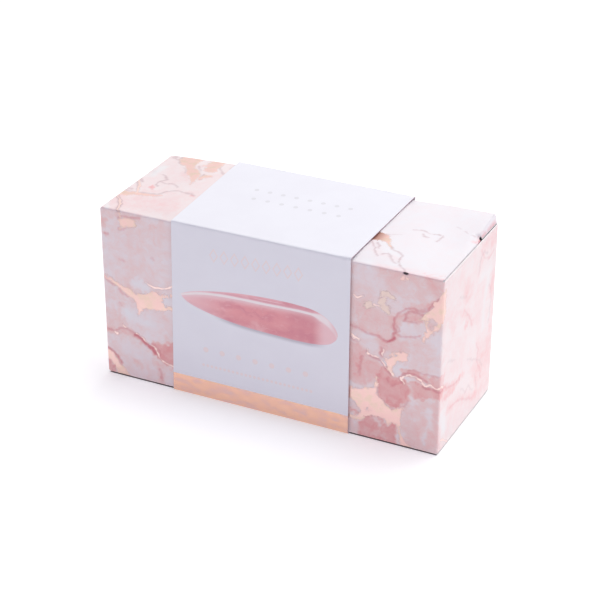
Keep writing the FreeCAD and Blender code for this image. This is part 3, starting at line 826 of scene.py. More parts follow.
def base_tint(u, v):
    """How pink the paper's ground is: rosiest on the front and back, palest on the top's right half."""
    on_lid = ease((v - HEIGHT + 1.0) / 3.0) * ease((HEIGHT + 2 * DEPTH + 1.0 - v) / 3.0)
    on_lid = on_lid * (np.abs(u) < END)
    lid_tint = LID_TINT - LID_TINT_DROP * ease((u + 20.0) / 60.0)
    body = SIDE_TINT + SIDE_TINT_DRIFT * ripple(u, v, 60.0, 7)
    past_end = ease((np.abs(u) - END) / 2.0)
    body = body * (1.0 - past_end) + END_TINT * past_end
    return body * (1.0 - on_lid) + lid_tint * on_lid


def vein_strength(u, v, lines):
    """The strongest of a set of veins at each place, with a crisp core that fades to its sides."""
    best = np.zeros(u.shape)
    for half, strength, line in lines:
        away = line_distance(u, v, line)
        best = np.maximum(best, strength * ease(1.0 - (away - half * 0.2) / (half * 1.9)))
    return best


def repeated(u, v):
    """Where the print repeats: the back takes the front's, the left end the right's and the base the top's.

    Each is turned round, so that no face looks like the one across from it.
    """
    back = v > HEIGHT + 2 * DEPTH
    left_or_base = (v < 0.0) | ((u < -END) & ~back)
    turned_v = np.where(back, v - HEIGHT - 2 * DEPTH, np.where(left_or_base, HEIGHT - v, v))
    return np.where(back | left_or_base, -u, u), turned_v


# How far the lid's print is shifted along it and across it for each millimetre that the lid stands up
LID_SHIFT = (1.0, 2.1)
# Ripples as (reach, size, seed) in millimetres: fine ones roughen foil and veins, wider ones sway the washes
FINE_U = ((0.40, 6.0, 1), (0.28, 2.4, 2))
FINE_V = ((0.40, 6.0, 3), (0.28, 2.4, 4))
SWAY_U = ((1.0, 11.0, 5), (0.8, 4.2, 8), (0.35, 2.0, 10))
SWAY_V = ((1.0, 11.0, 6), (0.8, 4.2, 9), (0.35, 2.0, 12))


def rippled(at, u, v, ripples):
    """Places along one direction of the blank, pushed about by ripples."""
    for reach, size, seed in ripples:
        at = at + reach * ripple(u, v, size, seed)
    return at


def marble_fields(u, v):
    """The print's foil, veins and washes at places on the blank, for the shader to sharpen.

    The top panel's print is drawn as it shows on the raised lid, so its places shift with the lid's height.
    """
    tint = base_tint(u, v)
    rise = np.where(np.abs(v - HEIGHT - DEPTH) < DEPTH, lid_rise(u, v - HEIGHT - DEPTH), 0.0)
    u = u - LID_SHIFT[0] * rise
    v = np.where(rise > 0.0, np.minimum(v + LID_SHIFT[1] * rise, HEIGHT + 2 * DEPTH - 1.0), v)
    u, v = repeated(u, v)
    wu = rippled(u, u, v, FINE_U)
    wv = rippled(v, u, v, FINE_V)
    foil = np.full(u.shape, 30.0)
    for outline in FOIL_PATCHES + EXTRA[0]:
        foil = np.minimum(foil, outline_distance(wu, wv, outline))
    for outline in FOIL_HOLES:
        foil = np.maximum(foil, -outline_distance(wu, wv, outline))
    trace = np.full(u.shape, 9.0)
    for half, line in FOIL_LINES + EXTRA[1]:
        trace = np.minimum(trace, line_distance(wu, wv, line) ** 2 - half ** 2)
    sway_u = rippled(u, u, v, SWAY_U)
    sway_v = rippled(v, u, v, SWAY_V)
    rim = np.zeros(u.shape)
    for kind, reach, soft, pink, points in WASHES + EXTRA[3]:
        distance = outline_distance if kind == "area" else line_distance
        away = distance(sway_u, sway_v, points) - reach
        cover = ease(0.5 - away / soft)
        tint = tint + (pink - tint) * cover
        if pink > 0.5 and soft < 3.2:
            rim = np.maximum(rim, (pink - 0.4) * np.exp(-((away + 0.3) / 0.7) ** 2))
    dark = vein_strength(wu, wv, DARK_LINES + EXTRA[2])
    grey = vein_strength(wu, wv, GREY_LINES)
    return {"foil": foil, "trace": trace, "tint": tint, "rim": rim, "dark": dark, "grey": grey}


# -----------------------------------------------------------------------------
# Materials
# -----------------------------------------------------------------------------


# How the ink darkens from pale lilac to deep rose, and the foil's rose golds: (place, colour)
MARBLE_INKS = [
    (0.0, (0.905, 0.868, 0.895)), (0.25, (0.925, 0.795, 0.812)), (0.50, (0.925, 0.690, 0.708)),
    (0.75, (0.915, 0.560, 0.570)), (1.0, (0.870, 0.400, 0.420)),
]
ROSE_GOLD = [
    (0.30, (0.960, 0.640, 0.600)), (0.48, (0.960, 0.665, 0.605)), (0.62, (0.880, 0.660, 0.545)),
    (0.76, (0.960, 0.620, 0.595)),
]
ROSE_VEIN = (0.715, 0.190, 0.225)
GREY_VEIN = (0.580, 0.400, 0.420)
# Near-black painted shade for the nick in the lid's front crease
NICK_SHADE = (0.060, 0.040, 0.040)
FOIL_OUTLINE = (0.60, 0.36, 0.35)


def marble_print():
    """Satin-coated board printed with watercolour marble and stamped with rose-gold foil."""
    n = Nodes("Marble_Print")
    at = n.blank()
    u, v, _ = n.parts(at)
    swayed = n.swayed(at, 0.10, 10.0)
    wash = n.noise(swayed, 0.20, 5.0, 0.62)
    grain = n.noise(at, 2.2, 3.0, 0.6)
    body = marble_ink(n, u, v, swayed, wash)
    foil, trace, outline = foil_stamp(n, at)
    body = n.mix(n.times(outline, 0.30), body, FOIL_OUTLINE)
    colour = n.mix(foil, body, foil_metal(n, at, u, v, trace))
    tooth = n.plus(n.times(grain, 0.05), 0.40)
    brushed = n.plus(n.times(n.noise(at, 0.9, 4.0, 0.6), 0.16), 0.24)
    rough = n.plus(n.times(foil, brushed), n.times(n.minus(1.0, foil), tooth))
    fibre = n.bump(grain, 0.02, 0.35)
    stamped = n.bump(foil, 0.05, 0.8, fibre)
    n.set(Base_Color=colour, Roughness=rough, Metallic=n.times(foil, 0.72), Normal=stamped)
    n.set(Coat_Weight=0.10, Coat_Roughness=0.25)
    return n.material


def marble_ink(n, u, v, swayed, wash):
    """The inks: placed washes loosened by noise, the tide lines they dry into, then rose and grey veins, and
    the painted shade of a nick in the lid's front crease.
    """
    cloud = n.noise(swayed, 0.055, 5.0, 0.6)
    tint = n.attribute("tint")
    loose = n.times(n.minus(cloud, 0.5), 0.70)
    fine = n.times(n.minus(wash, 0.5), 0.60)
    depth = n.step(tint, 0.05, 0.5, 0.35, 1.0)
    pink = n.plus(tint, n.times(n.plus(loose, fine), depth))
    tide = n.apart(n.noise(swayed, 0.09, 4.0, 0.5), 0.5)
    tide = n.times(n.step(tide, 0.016, 0.0), n.step(tint, 0.2, 0.6, 0.02, 0.12))
    rim = n.times(n.attribute("rim"), n.step(wash, 0.35, 0.65, 0.1, 0.5))
    pink = n.plus(n.plus(pink, tide), rim, clamp=True)
    body = n.ramp(pink, MARBLE_INKS)
    past_end = n.step(u, END - 0.5, END + 0.8)
    body = n.mix(past_end, body, n.vector("MULTIPLY", body, (1.0, 0.99, 0.955)))
    lid_left = n.window(v, HEIGHT - 0.5, HEIGHT + 1.0, HEIGHT + 77.0, HEIGHT + 75.0)
    lid_left = n.times(lid_left, n.step(u, 0.0, -20.0))
    body = n.mix(lid_left, body, n.vector("MULTIPLY", body, (1.0, 0.985, 0.955)))
    front = n.times(n.window(v, -0.5, 0.5, HEIGHT + 0.5, HEIGHT - 0.5), n.step(u, END + 0.5, END - 0.5))
    warm = n.times(front, n.step(pink, 0.18, 0.50))
    body = n.mix(warm, body, n.vector("MULTIPLY", body, (1.0, 0.945, 0.895)))
    ragged = n.plus(0.6, n.times(wash, 0.8))
    body = n.mix(n.times(n.attribute("dark"), ragged, clamp=True), body, ROSE_VEIN)
    grey = n.attribute("grey")
    body = n.mix(n.times(grey, ragged, clamp=True), body, GREY_VEIN)
    # Where the grey strength passes 1: painted shade of the nick in the lid's front crease
    return n.mix(n.step(grey, 1.0, 1.4), body, NICK_SHADE)


def foil_stamp(n, at):
    """Where foil lies, how near its thin lines are, and its outline.

    The stored distances are roughened, so that the edges flake.
    """
    speckle = n.minus(n.noise(at, 0.55, 5.0, 0.70), 0.5)
    crumb = n.minus(n.noise(at, 1.3, 4.0, 0.7), 0.5)
    edge = n.plus(n.attribute("foil"), n.times(speckle, 5.0))
    edge = n.plus(edge, n.times(crumb, 3.6))
    trace = n.plus(n.attribute("trace"), n.times(speckle, 0.5))
    foil = n.math("MAXIMUM", n.step(edge, 0.06, -0.06), n.step(trace, 0.08, -0.06))
    patch_outline = n.step(n.apart(edge, 0.25), 0.36, 0.0)
    line_outline = n.step(n.apart(trace, 0.45), 0.5, 0.0)
    return foil, trace, n.math("MAXIMUM", patch_outline, line_outline)


def foil_metal(n, at, u, v, trace):
    """The foil's colour: rose gold, duller in two places, with painted shade high on the front and a painted
    dark reflection of the sleeve's edge on the lid next to the sleeve.
    """
    metal = n.ramp(n.noise(at, 0.16, 4.0, 0.6), ROSE_GOLD)
    dull = n.times(n.window(u, 50.0, 54.0, 77.0, 74.0), n.window(v, 74.0, 76.0, 95.0, 92.0))
    metal = n.mix(dull, metal, (0.830, 0.650, 0.590))
    # Painted shade: the foil darkens towards the top of the front and of the ends
    upper = n.window(v, 28.0, 60.0, 103.0, 100.0)
    metal = n.mix(n.times(upper, 0.13), metal, (0.100, 0.060, 0.055))
    # Painted reflection: the lid's foil next to the sleeve's right edge darkens to brown, as if mirroring
    # the sleeve's dark edge and gap
    painted_sleeve_reflection = n.times(n.window(u, 38.0, 42.0, 57.5, 51.0), n.window(v, 116.0, 122.0, 160.0, 154.0))
    metal = n.mix(n.times(painted_sleeve_reflection, 0.80), metal, (0.500, 0.225, 0.165))
    return n.mix(n.step(trace, 0.3, -0.1), metal, (0.985, 0.740, 0.680))


def plain_board(name, light, dark, fibre_scale=1.6):
    """Uncoated board: short fibres, faint mottling and specks."""
    n = Nodes(name)
    at = n.blank()
    fibres = n.noise(n.vector("MULTIPLY", at, (0.35, 1.0, 1.0)), fibre_scale, 5.0, 0.68)
    mottle = n.noise(at, 0.08, 3.0, 0.5)
    specks = n.step(n.noise(at, 1.1, 2.0, 0.5), 0.71, 0.76)
    tone = n.plus(n.times(fibres, 0.7), n.times(mottle, 0.3))
    colour = n.mix(n.step(tone, 0.3, 0.7), dark, light)
    colour = n.mix(n.times(specks, 0.25), colour, tuple(c * 0.75 for c in dark))
    n.set(Base_Color=colour, Roughness=n.step(fibres, 0.3, 0.7, 0.82, 0.95))
    n.set(Normal=n.bump(fibres, 0.05, 0.5))
    return n.material


def cut_edge(name, light, dark):
    """The raw edge of die-cut board: pressed layers of fibre, slightly burred."""
    n = Nodes(name)
    at = n.place()
    long_grain = n.noise(n.vector("MULTIPLY", at, (0.5, 0.5, 0.5)), 1.2, 3.0, 0.5)
    fibres = n.noise(at, 3.5, 4.0, 0.65)
    tone = n.plus(n.times(long_grain, 0.5), n.times(fibres, 0.5))
    n.set(Base_Color=n.mix(n.step(tone, 0.35, 0.62), dark, light), Roughness=0.9)
    n.set(Normal=n.bump(fibres, 0.08, 0.7))
    return n.material


# The stone's picture on the sleeve's front: its outlines and its bright line, as (x, height) in millimetres
WAND_LEFT = -50.6
WAND_RIGHT = 42.6
WAND_TOP_LINE = [(-50.6, 61.9), (-45, 64.2), (-40, 65.6), (-30, 67.6), (-20, 69.2), (-8, 70.4), (8, 71.1),
                 (20, 70.9), (28, 70.1), (34, 68.1), (38.6, 64.9), (41.6, 61.2), (42.6, 58.4)]
WAND_LOW_LINE = [(-50.6, 61.5), (-48, 58.6), (-44, 56.6), (-38, 54.8), (-30, 53.0), (-20, 51.5), (-8, 50.4),
                 (8, 49.9), (20, 49.7), (29, 50.1), (36, 51.4), (40.4, 54.0), (42.6, 58.0)]
SHINE_LINE = [(-50.6, 61.4), (-45, 63.0), (-40, 64.3), (-30, 65.8), (-18, 66.6), (0, 67.0), (12, 67.4),
              (24, 67.6), (31, 66.9), (36, 64.9), (39.4, 61.8), (41.6, 58.4), (42.6, 56)]
PICTURE_LOW, PICTURE_HIGH = 40.0, 75.0
STONE_INKS = [
    (0.0, (0.830, 0.400, 0.440)), (0.10, (0.800, 0.330, 0.380)), (0.34, (0.880, 0.390, 0.430)),
    (0.60, (0.860, 0.365, 0.410)), (0.74, (0.910, 0.490, 0.530)), (0.90, (0.830, 0.350, 0.420)),
    (1.0, (0.930, 0.560, 0.630)),
]
BAND_METAL = [
    (0.34, (0.940, 0.590, 0.450)), (0.46, (0.920, 0.560, 0.410)), (0.56, (0.860, 0.530, 0.450)),
    (0.68, (0.810, 0.530, 0.500)),
]


def sleeve_print():
    """Smooth white board with a lilac cast: the stone's picture, plain marks and a foil band at its foot."""
    n = Nodes("Sleeve_Print")
    at = n.blank()
    x, z, _ = n.parts(at)
    grain = n.noise(at, 2.6, 3.0, 0.6)
    mottle = n.noise(at, 0.05, 3.0, 0.5)
    paper = n.mix(n.step(mottle, 0.35, 0.65), (0.880, 0.866, 0.918), (0.892, 0.880, 0.930))
    paper = n.mix(n.times(n.step(grain, 0.62, 0.7), 0.06), paper, (0.80, 0.79, 0.86))
    title, rows = ornament(n, x, z)
    body = n.layered(stone_picture(n, at, x, z, paper), [
        (n.times(title, 0.55), (0.985, 0.770, 0.720)),
        (n.times(rows, 0.55), (0.700, 0.680, 0.710)),
    ])
    band = n.times(n.step(z, 11.5, 11.3), n.window(z, -0.6, -0.5, 103.9, 103.8))
    tone = n.noise(n.vector("MULTIPLY", at, (1.0, 2.4, 1.0)), 0.10, 4.0, 0.6)
    colour = n.mix(band, body, n.ramp(tone, BAND_METAL))
    fibre = n.bump(grain, 0.015, 0.3)
    stamped = n.bump(band, 0.03, 0.6, fibre)
    rough = n.plus(n.times(band, -0.20), n.plus(n.times(grain, 0.05), 0.42))
    n.set(Base_Color=colour, Roughness=rough, Metallic=n.times(band, 0.82), Normal=stamped)
    n.set(Coat_Weight=0.06, Coat_Roughness=0.3)
    return n.material


def stone_picture(n, at, x, z, paper):
    """The printed stone between its two outlines, with a soft edge and its shadow, laid on the paper."""
    upper, lower, shine = (
        n.curve(x, WAND_LEFT, WAND_RIGHT, line, PICTURE_LOW, PICTURE_HIGH)
        for line in (WAND_TOP_LINE, WAND_LOW_LINE, SHINE_LINE)
    )
    height, left_below = n.minus(z, lower), n.minus(upper, z)
    across = n.math("DIVIDE", height, n.math("MAXIMUM", n.minus(upper, lower), 0.05))
    stone = stone_inks(n, at, x, across, n.minus(z, shine))
    drop = n.minus(lower, z)
    shadow = n.times(n.window(drop, -0.4, 0.2, 2.6, 0.2), n.window(x, -34.0, -18.0, 38.0, 26.0))
    margin = n.math("MINIMUM", height, left_below)
    within_x = n.window(x, WAND_LEFT - 0.1, WAND_LEFT + 0.2, WAND_RIGHT + 0.1, WAND_RIGHT - 0.2)
    return n.layered(paper, [
        (n.times(shadow, 0.75), (0.52, 0.47, 0.54)),
        (n.times(n.times(n.step(margin, -0.5, 0.5), within_x), 0.35), (0.93, 0.68, 0.74)),
        (n.times(n.step(margin, -0.15, 0.15), within_x), stone),
    ])


def stone_inks(n, at, x, across, above):
    """The picture's colours: bands across the stone, streaks along it and a bright line near its top."""
    drawn_out = n.vector("MULTIPLY", n.swayed(at, 0.12, 9.0), (0.45, 1.0, 1.0))
    veins = n.noise(drawn_out, 0.16, 4.0, 0.5)
    streak = n.noise(drawn_out, 0.42, 4.0, 0.6)
    deep = n.window(x, 6.0, 24.0, 34.0, 28.0)
    right_end = n.times(n.step(x, 27.0, 36.0), 0.84)
    left_end = n.times(n.step(x, -16.0, -46.0), 0.62)
    stone = n.layered(n.ramp(across, STONE_INKS), [
        (n.times(n.step(veins, 0.48, 0.66), 0.50), (0.720, 0.250, 0.320)),
        (n.times(n.step(streak, 0.55, 0.68), 0.38), (0.955, 0.600, 0.650)),
        (n.times(n.step(veins, 0.46, 0.30), 0.40), (0.960, 0.640, 0.670)),
        (n.times(deep, 0.50), (0.700, 0.270, 0.340)),
        (n.math("MAXIMUM", right_end, left_end), (0.955, 0.700, 0.750)),
    ])
    stone = n.vector("MULTIPLY", stone, (1.03, 0.965, 0.93))
    glow = n.math("ABSOLUTE", above)
    flank = n.times(n.step(above, -4.6, -0.4), n.step(x, 10.0, -20.0, 0.15, 0.5))
    width = n.plus(0.62, n.times(n.noise(at, 0.10, 2.0), 0.8))
    width = n.plus(width, n.times(n.step(x, 27.0, 34.0), 2.0))
    bright = n.times(n.step(glow, width, n.times(width, 0.35)), n.step(x, 41.0, 36.0))
    contour = n.times(n.step(n.apart(above, 1.5), 0.6, 0.1), n.window(x, -42.0, -30.0, 30.0, 24.0))
    second = n.times(n.step(n.apart(above, 2.3), 0.5, 0.0), n.window(x, -10.0, -2.0, 14.0, 6.0))
    return n.layered(stone, [
        (n.times(flank, n.step(above, 0.4, 0.0)), (0.975, 0.700, 0.730)),
        (n.times(n.step(glow, 2.6, 0.3), 0.50), (0.985, 0.780, 0.800)),
        (bright, (1.0, 0.880, 0.885)),
        (n.times(contour, 0.45), (0.760, 0.330, 0.400)),
        (n.times(second, 0.5), (0.985, 0.800, 0.830)),
    ])


# Plain marks where the sleeve's titles would be: a chain of lozenges, and rows of dots given as
# height on the strip, left end, right end, pitch and dot radius
TITLE_Z = 89.0
TITLE_X = (-33.0, 23.0)
TITLE_HALF = 4.2
LOZENGES = 9.0
LINE_ROWS = ((30.6, -41.0, 29.0, 10.0, 1.7), (20.8, -39.0, 29.0, 2.6, 0.95))
TOP_ROWS = ((154.6, -33.8, 30.2, 8.0, 1.4), (144.6, -30.8, 28.0, 8.4, 1.4))


def ornament(n, x, z):
    """The chain of lozenges with the front's rows of dots, and the top's rows of dots. No letters."""
    left, right = TITLE_X
    place = n.math("DIVIDE", n.minus(x, left), (right - left) / LOZENGES)
    across = n.apart(n.math("FRACT", place), 0.5)
    up = n.math("DIVIDE", n.apart(z, TITLE_Z), TITLE_HALF)
    outline = n.apart(n.plus(n.times(across, 2.4), up), 0.86)
    marks = n.times(n.step(outline, 0.20, 0.10), span_mask(n, x, left, right))
    for row in LINE_ROWS:
        marks = n.math("MAXIMUM", marks, dot_row(n, x, z, row))
    rows = 0.0
    for row in TOP_ROWS:
        rows = n.math("MAXIMUM", rows, dot_row(n, x, z, row))
    return marks, rows


def dot_row(n, x, z, row):
    """A row of round dots at one height between two places along the sleeve."""
    row_z, row_left, row_right, pitch, size = row
    place = n.math("DIVIDE", n.minus(x, row_left), pitch)
    dx = n.times(n.minus(n.math("FRACT", place), 0.5), pitch)
    dz = n.minus(z, row_z)
    away = n.math("SQRT", n.plus(n.times(dx, dx), n.times(dz, dz)))
    return n.times(n.step(away, size, size - 0.2), span_mask(n, x, row_left, row_right))


def span_mask(n, x, left, right):
    """1 between two places along the sleeve and 0 beyond them."""
    return n.window(x, left - 0.05, left + 0.05, right + 0.05, right - 0.05)


def rose_quartz():
    """Polished rose quartz: milky body, cloudy inclusions, fine healed fractures and clearer depths."""
    n = Nodes("Rose_Quartz")
    at = n.place()
    swayed = n.swayed(at, 0.05, 24.0)
    cloud = n.noise(swayed, 0.045, 6.0, 0.6)
    milk = n.noise(swayed, 0.14, 5.0, 0.6)
    crack = n.apart(n.noise(swayed, 0.06, 4.0, 0.5), 0.5)
    crack = n.times(n.step(crack, 0.010, 0.0), n.step(milk, 0.40, 0.60))
    specks = n.step(n.noise(at, 1.4, 2.0), 0.70, 0.76)
    depths = n.ramp(cloud, [
        (0.30, (0.900, 0.640, 0.650)), (0.46, (0.830, 0.450, 0.490)), (0.60, (0.740, 0.330, 0.390)),
        (0.74, (0.860, 0.540, 0.570)),
    ])
    body = n.layered(depths, [
        (n.times(n.step(milk, 0.52, 0.72), 0.6), (0.950, 0.800, 0.800)),
        (n.times(crack, 0.55), (0.975, 0.900, 0.895)),
        (n.times(specks, 0.2), (0.60, 0.27, 0.30)),
    ])
    polish = n.plus(n.times(n.noise(at, 0.3, 3.0), 0.06), 0.07)
    n.set(Base_Color=body, Roughness=polish, Subsurface_Weight=0.35, Subsurface_Scale=0.012)
    n.shader.inputs["Subsurface Radius"].default_value = (1.0, 0.45, 0.42)
    n.set(Coat_Weight=0.4, Coat_Roughness=0.05, Specular_IOR_Level=0.5)
    n.set(Normal=n.bump(n.noise(at, 0.25, 2.0), 0.03, 0.3))
    return n.material


def foam():
    """Fine open-cell foam: dense small pores and a few larger ones, both with painted shade inside, and a
    faint cast.
    """
    n = Nodes("Cradle_Foam")
    at = n.place()
    pores = n.step(n.cells(at, 1.5), 0.18, 0.52)
    holes = n.step(n.cells(at, 0.45), 0.10, 0.20)
    mottle = n.noise(at, 0.06, 3.0, 0.5)
    colour = n.mix(n.step(mottle, 0.35, 0.65), (0.885, 0.835, 0.840), (0.920, 0.880, 0.880))
    # Painted shade inside the pores: their centres are darkened
    colour = n.mix(n.minus(1.0, n.times(pores, holes)), colour, (0.66, 0.57, 0.58))
    n.set(Base_Color=colour, Roughness=0.95, Sheen_Weight=0.35, Sheen_Roughness=0.6)
    fine = n.bump(pores, 0.22, 0.8)
    n.set(Normal=n.bump(holes, 0.3, 0.8, fine))
    return n.material


MARBLE = marble_print()
CARTON_INNER = plain_board("Carton_Inner_Board", (0.87, 0.80, 0.79), (0.80, 0.72, 0.71))
CARTON_EDGE = cut_edge("Carton_Cut_Edge", (0.95, 0.93, 0.93), (0.82, 0.76, 0.76))
SLEEVE_PRINT = sleeve_print()
SLEEVE_INNER = plain_board("Sleeve_Inner_Board", (0.90, 0.90, 0.92), (0.85, 0.85, 0.88), 2.0)
# The sleeve's white cut edge is coloured dark rose: painted shade of the gap along it, with a painted pink
# reflection of the carton
SLEEVE_EDGE_SHADE = cut_edge("Sleeve_Cut_Edge_Painted_Shade", (0.66, 0.46, 0.50), (0.48, 0.31, 0.35))
HOLDER_BOARD = plain_board("Platform_Board", (0.91, 0.90, 0.885), (0.85, 0.835, 0.815), 1.2)
HOLDER_EDGE = cut_edge("Platform_Cut_Edge", (0.88, 0.87, 0.85), (0.76, 0.74, 0.71))
FOAM_LOOK = foam()
QUARTZ = rose_quartz()

CARTON_LOOK = [MARBLE, CARTON_INNER, CARTON_EDGE]
SLEEVE_LOOK = [SLEEVE_PRINT, SLEEVE_INNER, SLEEVE_EDGE_SHADE]
HOLDER_LOOK = [HOLDER_BOARD, HOLDER_BOARD, HOLDER_EDGE]


# -----------------------------------------------------------------------------
# Carton
# -----------------------------------------------------------------------------

def lid_rise(x, y):
    """How far the sprung lid stands above its flat place, dropping to its flap and to its free end edge."""
    across = np.clip((y + DEPTH) / (2 * DEPTH), 0.0, 1.0)
    near_end = ease((np.abs(x) - LID_END_START) / LID_END_LENGTH)
    dome = LID_DOME * ease(across * 6.0) * ease((DEPTH - y) / 16.0) * (1.0 - near_end)
    profile = across * (1.0 - near_end) + ease((y + 4.0) / (DEPTH + 4.0)) * near_end
    lift = np.interp(x, LID_RISE_X, LID_RISE_Z) * profile + dome
    held = ease((FLAP_ROOT_X - x) / 4.4) * ease((x + FLAP_ROOT_X) / 4.4)
    free = ease((DUST_AXIS_X + BOARD - x) / 1.0) * ease((x + DUST_AXIS_X + BOARD) / 1.0)
    loose = ease((y - DUST_ROOT[1]) / 3.0)
    return lift * (held * (1.0 - loose) + free * loose)


def lid_end(y, notched):
    """Where a top or bottom panel ends at a place across it: at its flap, its notch or its cut edge."""
    cut = DUST_AXIS_X + BOARD
    notch_end = DUST_ROOT[1] + NOTCH_WIDTH
    if DUST_ROOT[0] - 0.1 < y < DUST_ROOT[1]:
        return FLAP_ROOT_X
    if notched and DUST_ROOT[1] <= y < notch_end:
        half = NOTCH_WIDTH / 2
        off = (y - DUST_ROOT[1] - half) / half
        return cut - NOTCH_DEPTH + half * (1 - math.sqrt(max(0.0, 1 - off * off))) * 0.9
    return cut


def carton_end(y, z, notched):
    """Where the carton's tube ends at a place round it."""
    if y > DEPTH - CREASE and BASE + CREASE < z < LID - CREASE:
        return BACK[1][0]
    if y < -DEPTH + CREASE:
        return FRONT[1][0]
    if z > LID - BOARD / 2 or z < BASE + BOARD / 2:
        return lid_end(y, notched)
    share = (y - LAP[0][1]) / (LAP[1][1] - LAP[0][1])
    return LAP[1][0] - LAP_SLANT * (1 - min(1.0, max(0.0, share)))


# As shares of the carton's half length: where the sleeve covers it, and the spacing of places beyond the
# sleeve and under it
COVERED = (-0.54, 0.44)
FINE_SPACING = 0.0064
COARSE_SPACING = 0.026


def carton_columns():
    """Places along the carton, as shares of its half length, closer together where it is bare."""
    left, right = COVERED
    places = stations(-1.0, left, FINE_SPACING) + stations(left, right, COARSE_SPACING)[1:]
    return places + stations(right, 1.0, FINE_SPACING)[1:]


def add_steps(points, normals, along):
    """Adds close pairs of places where the panel's end steps in or out, so that the steps are square."""
    extra = []
    marks = [DUST_ROOT[0] - 0.1, DUST_ROOT[1], DUST_ROOT[1] + NOTCH_WIDTH]
    nick = list(np.linspace(DUST_ROOT[1], DUST_ROOT[1] + NOTCH_WIDTH, 9)[1:-1])
    for flat_z, sign in ((LID, 1.0), (BASE, -1.0)):
        for mark in marks:
            extra += [(mark - 0.01, flat_z, sign), (mark + 0.01, flat_z, sign)]
        extra += [(y, flat_z, sign) for y in nick]
    for y, z, sign in extra:
        v = HEIGHT + DEPTH + y if sign > 0 else -(DEPTH + y)
        points = np.vstack([points, [y, z]])
        normals = np.vstack([normals, [0.0, sign]])
        along = np.append(along, v)
    order = np.argsort(along, kind="stable")
    return points[order], normals[order], along[order]


def make_carton():
    """The carton's tube: one sheet creased round four corners, with its lap glued inside the base."""
    lap_z = BASE + BOARD
    corners = [
        (DEPTH - 0.3, BASE), (-DEPTH, BASE), (-DEPTH, LID), (DEPTH, LID), (DEPTH, lap_z), (LAP[0][1], lap_z),
    ]
    points, normals, along = fold(corners, [CREASE] * 3 + [0.7], [2.4, 0.64, 0.7, 1.1, 2.0])
    along = along - (2 * DEPTH - 0.3)
    points, normals, along = add_steps(points, normals, along)
    shares = np.array(carton_columns())
    left_ends = np.array([carton_end(y, z, False) for y, z in points])
    right_ends = np.array([carton_end(y, z, True) for y, z in points])
    x = shares[None, :] * np.where(shares[None, :] < 0, left_ends[:, None], right_ends[:, None])
    y, z = spread(points, len(shares))
    height_share = np.clip((z - BASE) / HEIGHT, 0, 1) ** 3
    z = z + lid_rise(x, y) * np.where(z > BASE + 10, height_share, 0.0)
    made = strip("Carton_Sheet", x, y, z, normals, along, BOARD, CARTON_LOOK, marble_fields)
    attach(made, "carton")
    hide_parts("carton_front_panel", "carton_back_panel", "carton_top_panel", "carton_bottom_panel",
                "carton_glue_lap")
    return made


def flap(name, side, path, rows, place, blank, crease, node):
    """One end flap with its crease."""
    points, normals, along = path
    outer = np.zeros((len(points), rows, 3))
    normal = np.zeros_like(outer)
    uv = np.zeros((len(points), rows, 2))
    for i, (point, way, s) in enumerate(zip(points, normals, along)):
        for j in range(rows):
            outer[i, j], normal[i, j] = place(point, way, s, j / (rows - 1))
            uv[i, j] = blank(outer[i, j], s)
    outer[:, :, 0] *= side
    normal[:, :, 0] *= side
    uv[:, :, 0] *= side
    made = board(name, outer, normal, uv, BOARD, CARTON_LOOK, marble_fields)
    start, end = ([side * p[0] * MM, p[1] * MM, p[2] * MM] for p in crease)
    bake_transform(made)
    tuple(start)
    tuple(end)
    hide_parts(node)
    return made


def make_closure(word, side):
    """A closure panel, creased round from the front panel's end."""
    radius = END - FRONT[1][0]
    corners = [(FRONT[1][0] - 0.001, -DEPTH), (END, -DEPTH), (END, CLOSURE[1][1])]
    path = fold(corners, [radius], [0.7, 0.7], turn=-1.0, bend_steps=10)
    low, high = CLOSURE[0][2], CLOSURE[1][2]

    def place(point, way, s, share):
        z = low + (high - low) * share
        return (point[0], point[1], z), (way[0], way[1], 0.0)

    def blank(p, s):
        return FRONT[1][0] + s, p[2] - BASE

    middle = 0.5 * (low + high)
    crease = [(END - radius, -DEPTH, middle), (END, -DEPTH + radius, middle)]
    flap(word.capitalize() + "_Closure", side, path, 144, place, blank,
         crease, word + "_closure_panel")


def make_tuck(word, side):
    """A tuck flap, creased from its closure's free edge and leaning a little inwards."""
    lean = math.radians(10.0)
    axis_x, axis_y = END - BOARD, CLOSURE[1][1] + 0.1
    length = 14.0
    face = (axis_x - BOARD * math.sin(lean), axis_y + BOARD * math.cos(lean))
    corner_y = face[1] + (END - face[0]) * math.tan(lean)
    tip = (face[0] - length * math.cos(lean), face[1] - length * math.sin(lean))
    corners = [(END, CLOSURE[1][1]), (END, corner_y), tip]
    radius = 0.65
    path = fold(corners, [radius], [1.0, 1.0], turn=-1.0, bend_steps=8)
    low, high = TUCK[0][2], TUCK[1][2]
    total = path[2][-1]
    rounding = 8.0

    def place(point, way, s, share):
        into = max(0.0, s - (total - rounding))
        trim = rounding - math.sqrt(max(0.0, rounding ** 2 - into ** 2))
        z = low + trim + (high - low - 2 * trim) * share
        return (point[0], point[1], z), (way[0], way[1], 0.0)

    def blank(p, s):
        return END + DEPTH + CLOSURE[1][1] + s, p[2] - BASE

    middle = 0.5 * (low + high)
    turned = math.pi / 2 + lean
    reach = radius * math.tan(turned / 2)
    bend_end = (END - reach * math.cos(lean), corner_y - reach * math.sin(lean))
    crease = [(END, corner_y - reach, middle), (bend_end[0], bend_end[1], middle)]
    flap(word.capitalize() + "_Tuck_Flap", side, path, 66, place, blank,
         crease, word + "_tuck_flap")


# A dust flap's outline, in millimetres: its length, and how far each side stands from the flap's root line.
# The front side steps in at a shoulder and then slants. The back side is straight at first and then narrows.
DUST_LENGTH = 36.0
DUST_SIDE, DUST_SHOULDER, DUST_SHOULDER_RUN, DUST_SLANT = 1.5, 0.9, 2.5, 22.6
DUST_WIDTH, DUST_NARROWING, DUST_STRAIGHT_RUN = 51.0, 5.0, 6.0
DUST_ROUNDING = 4.0


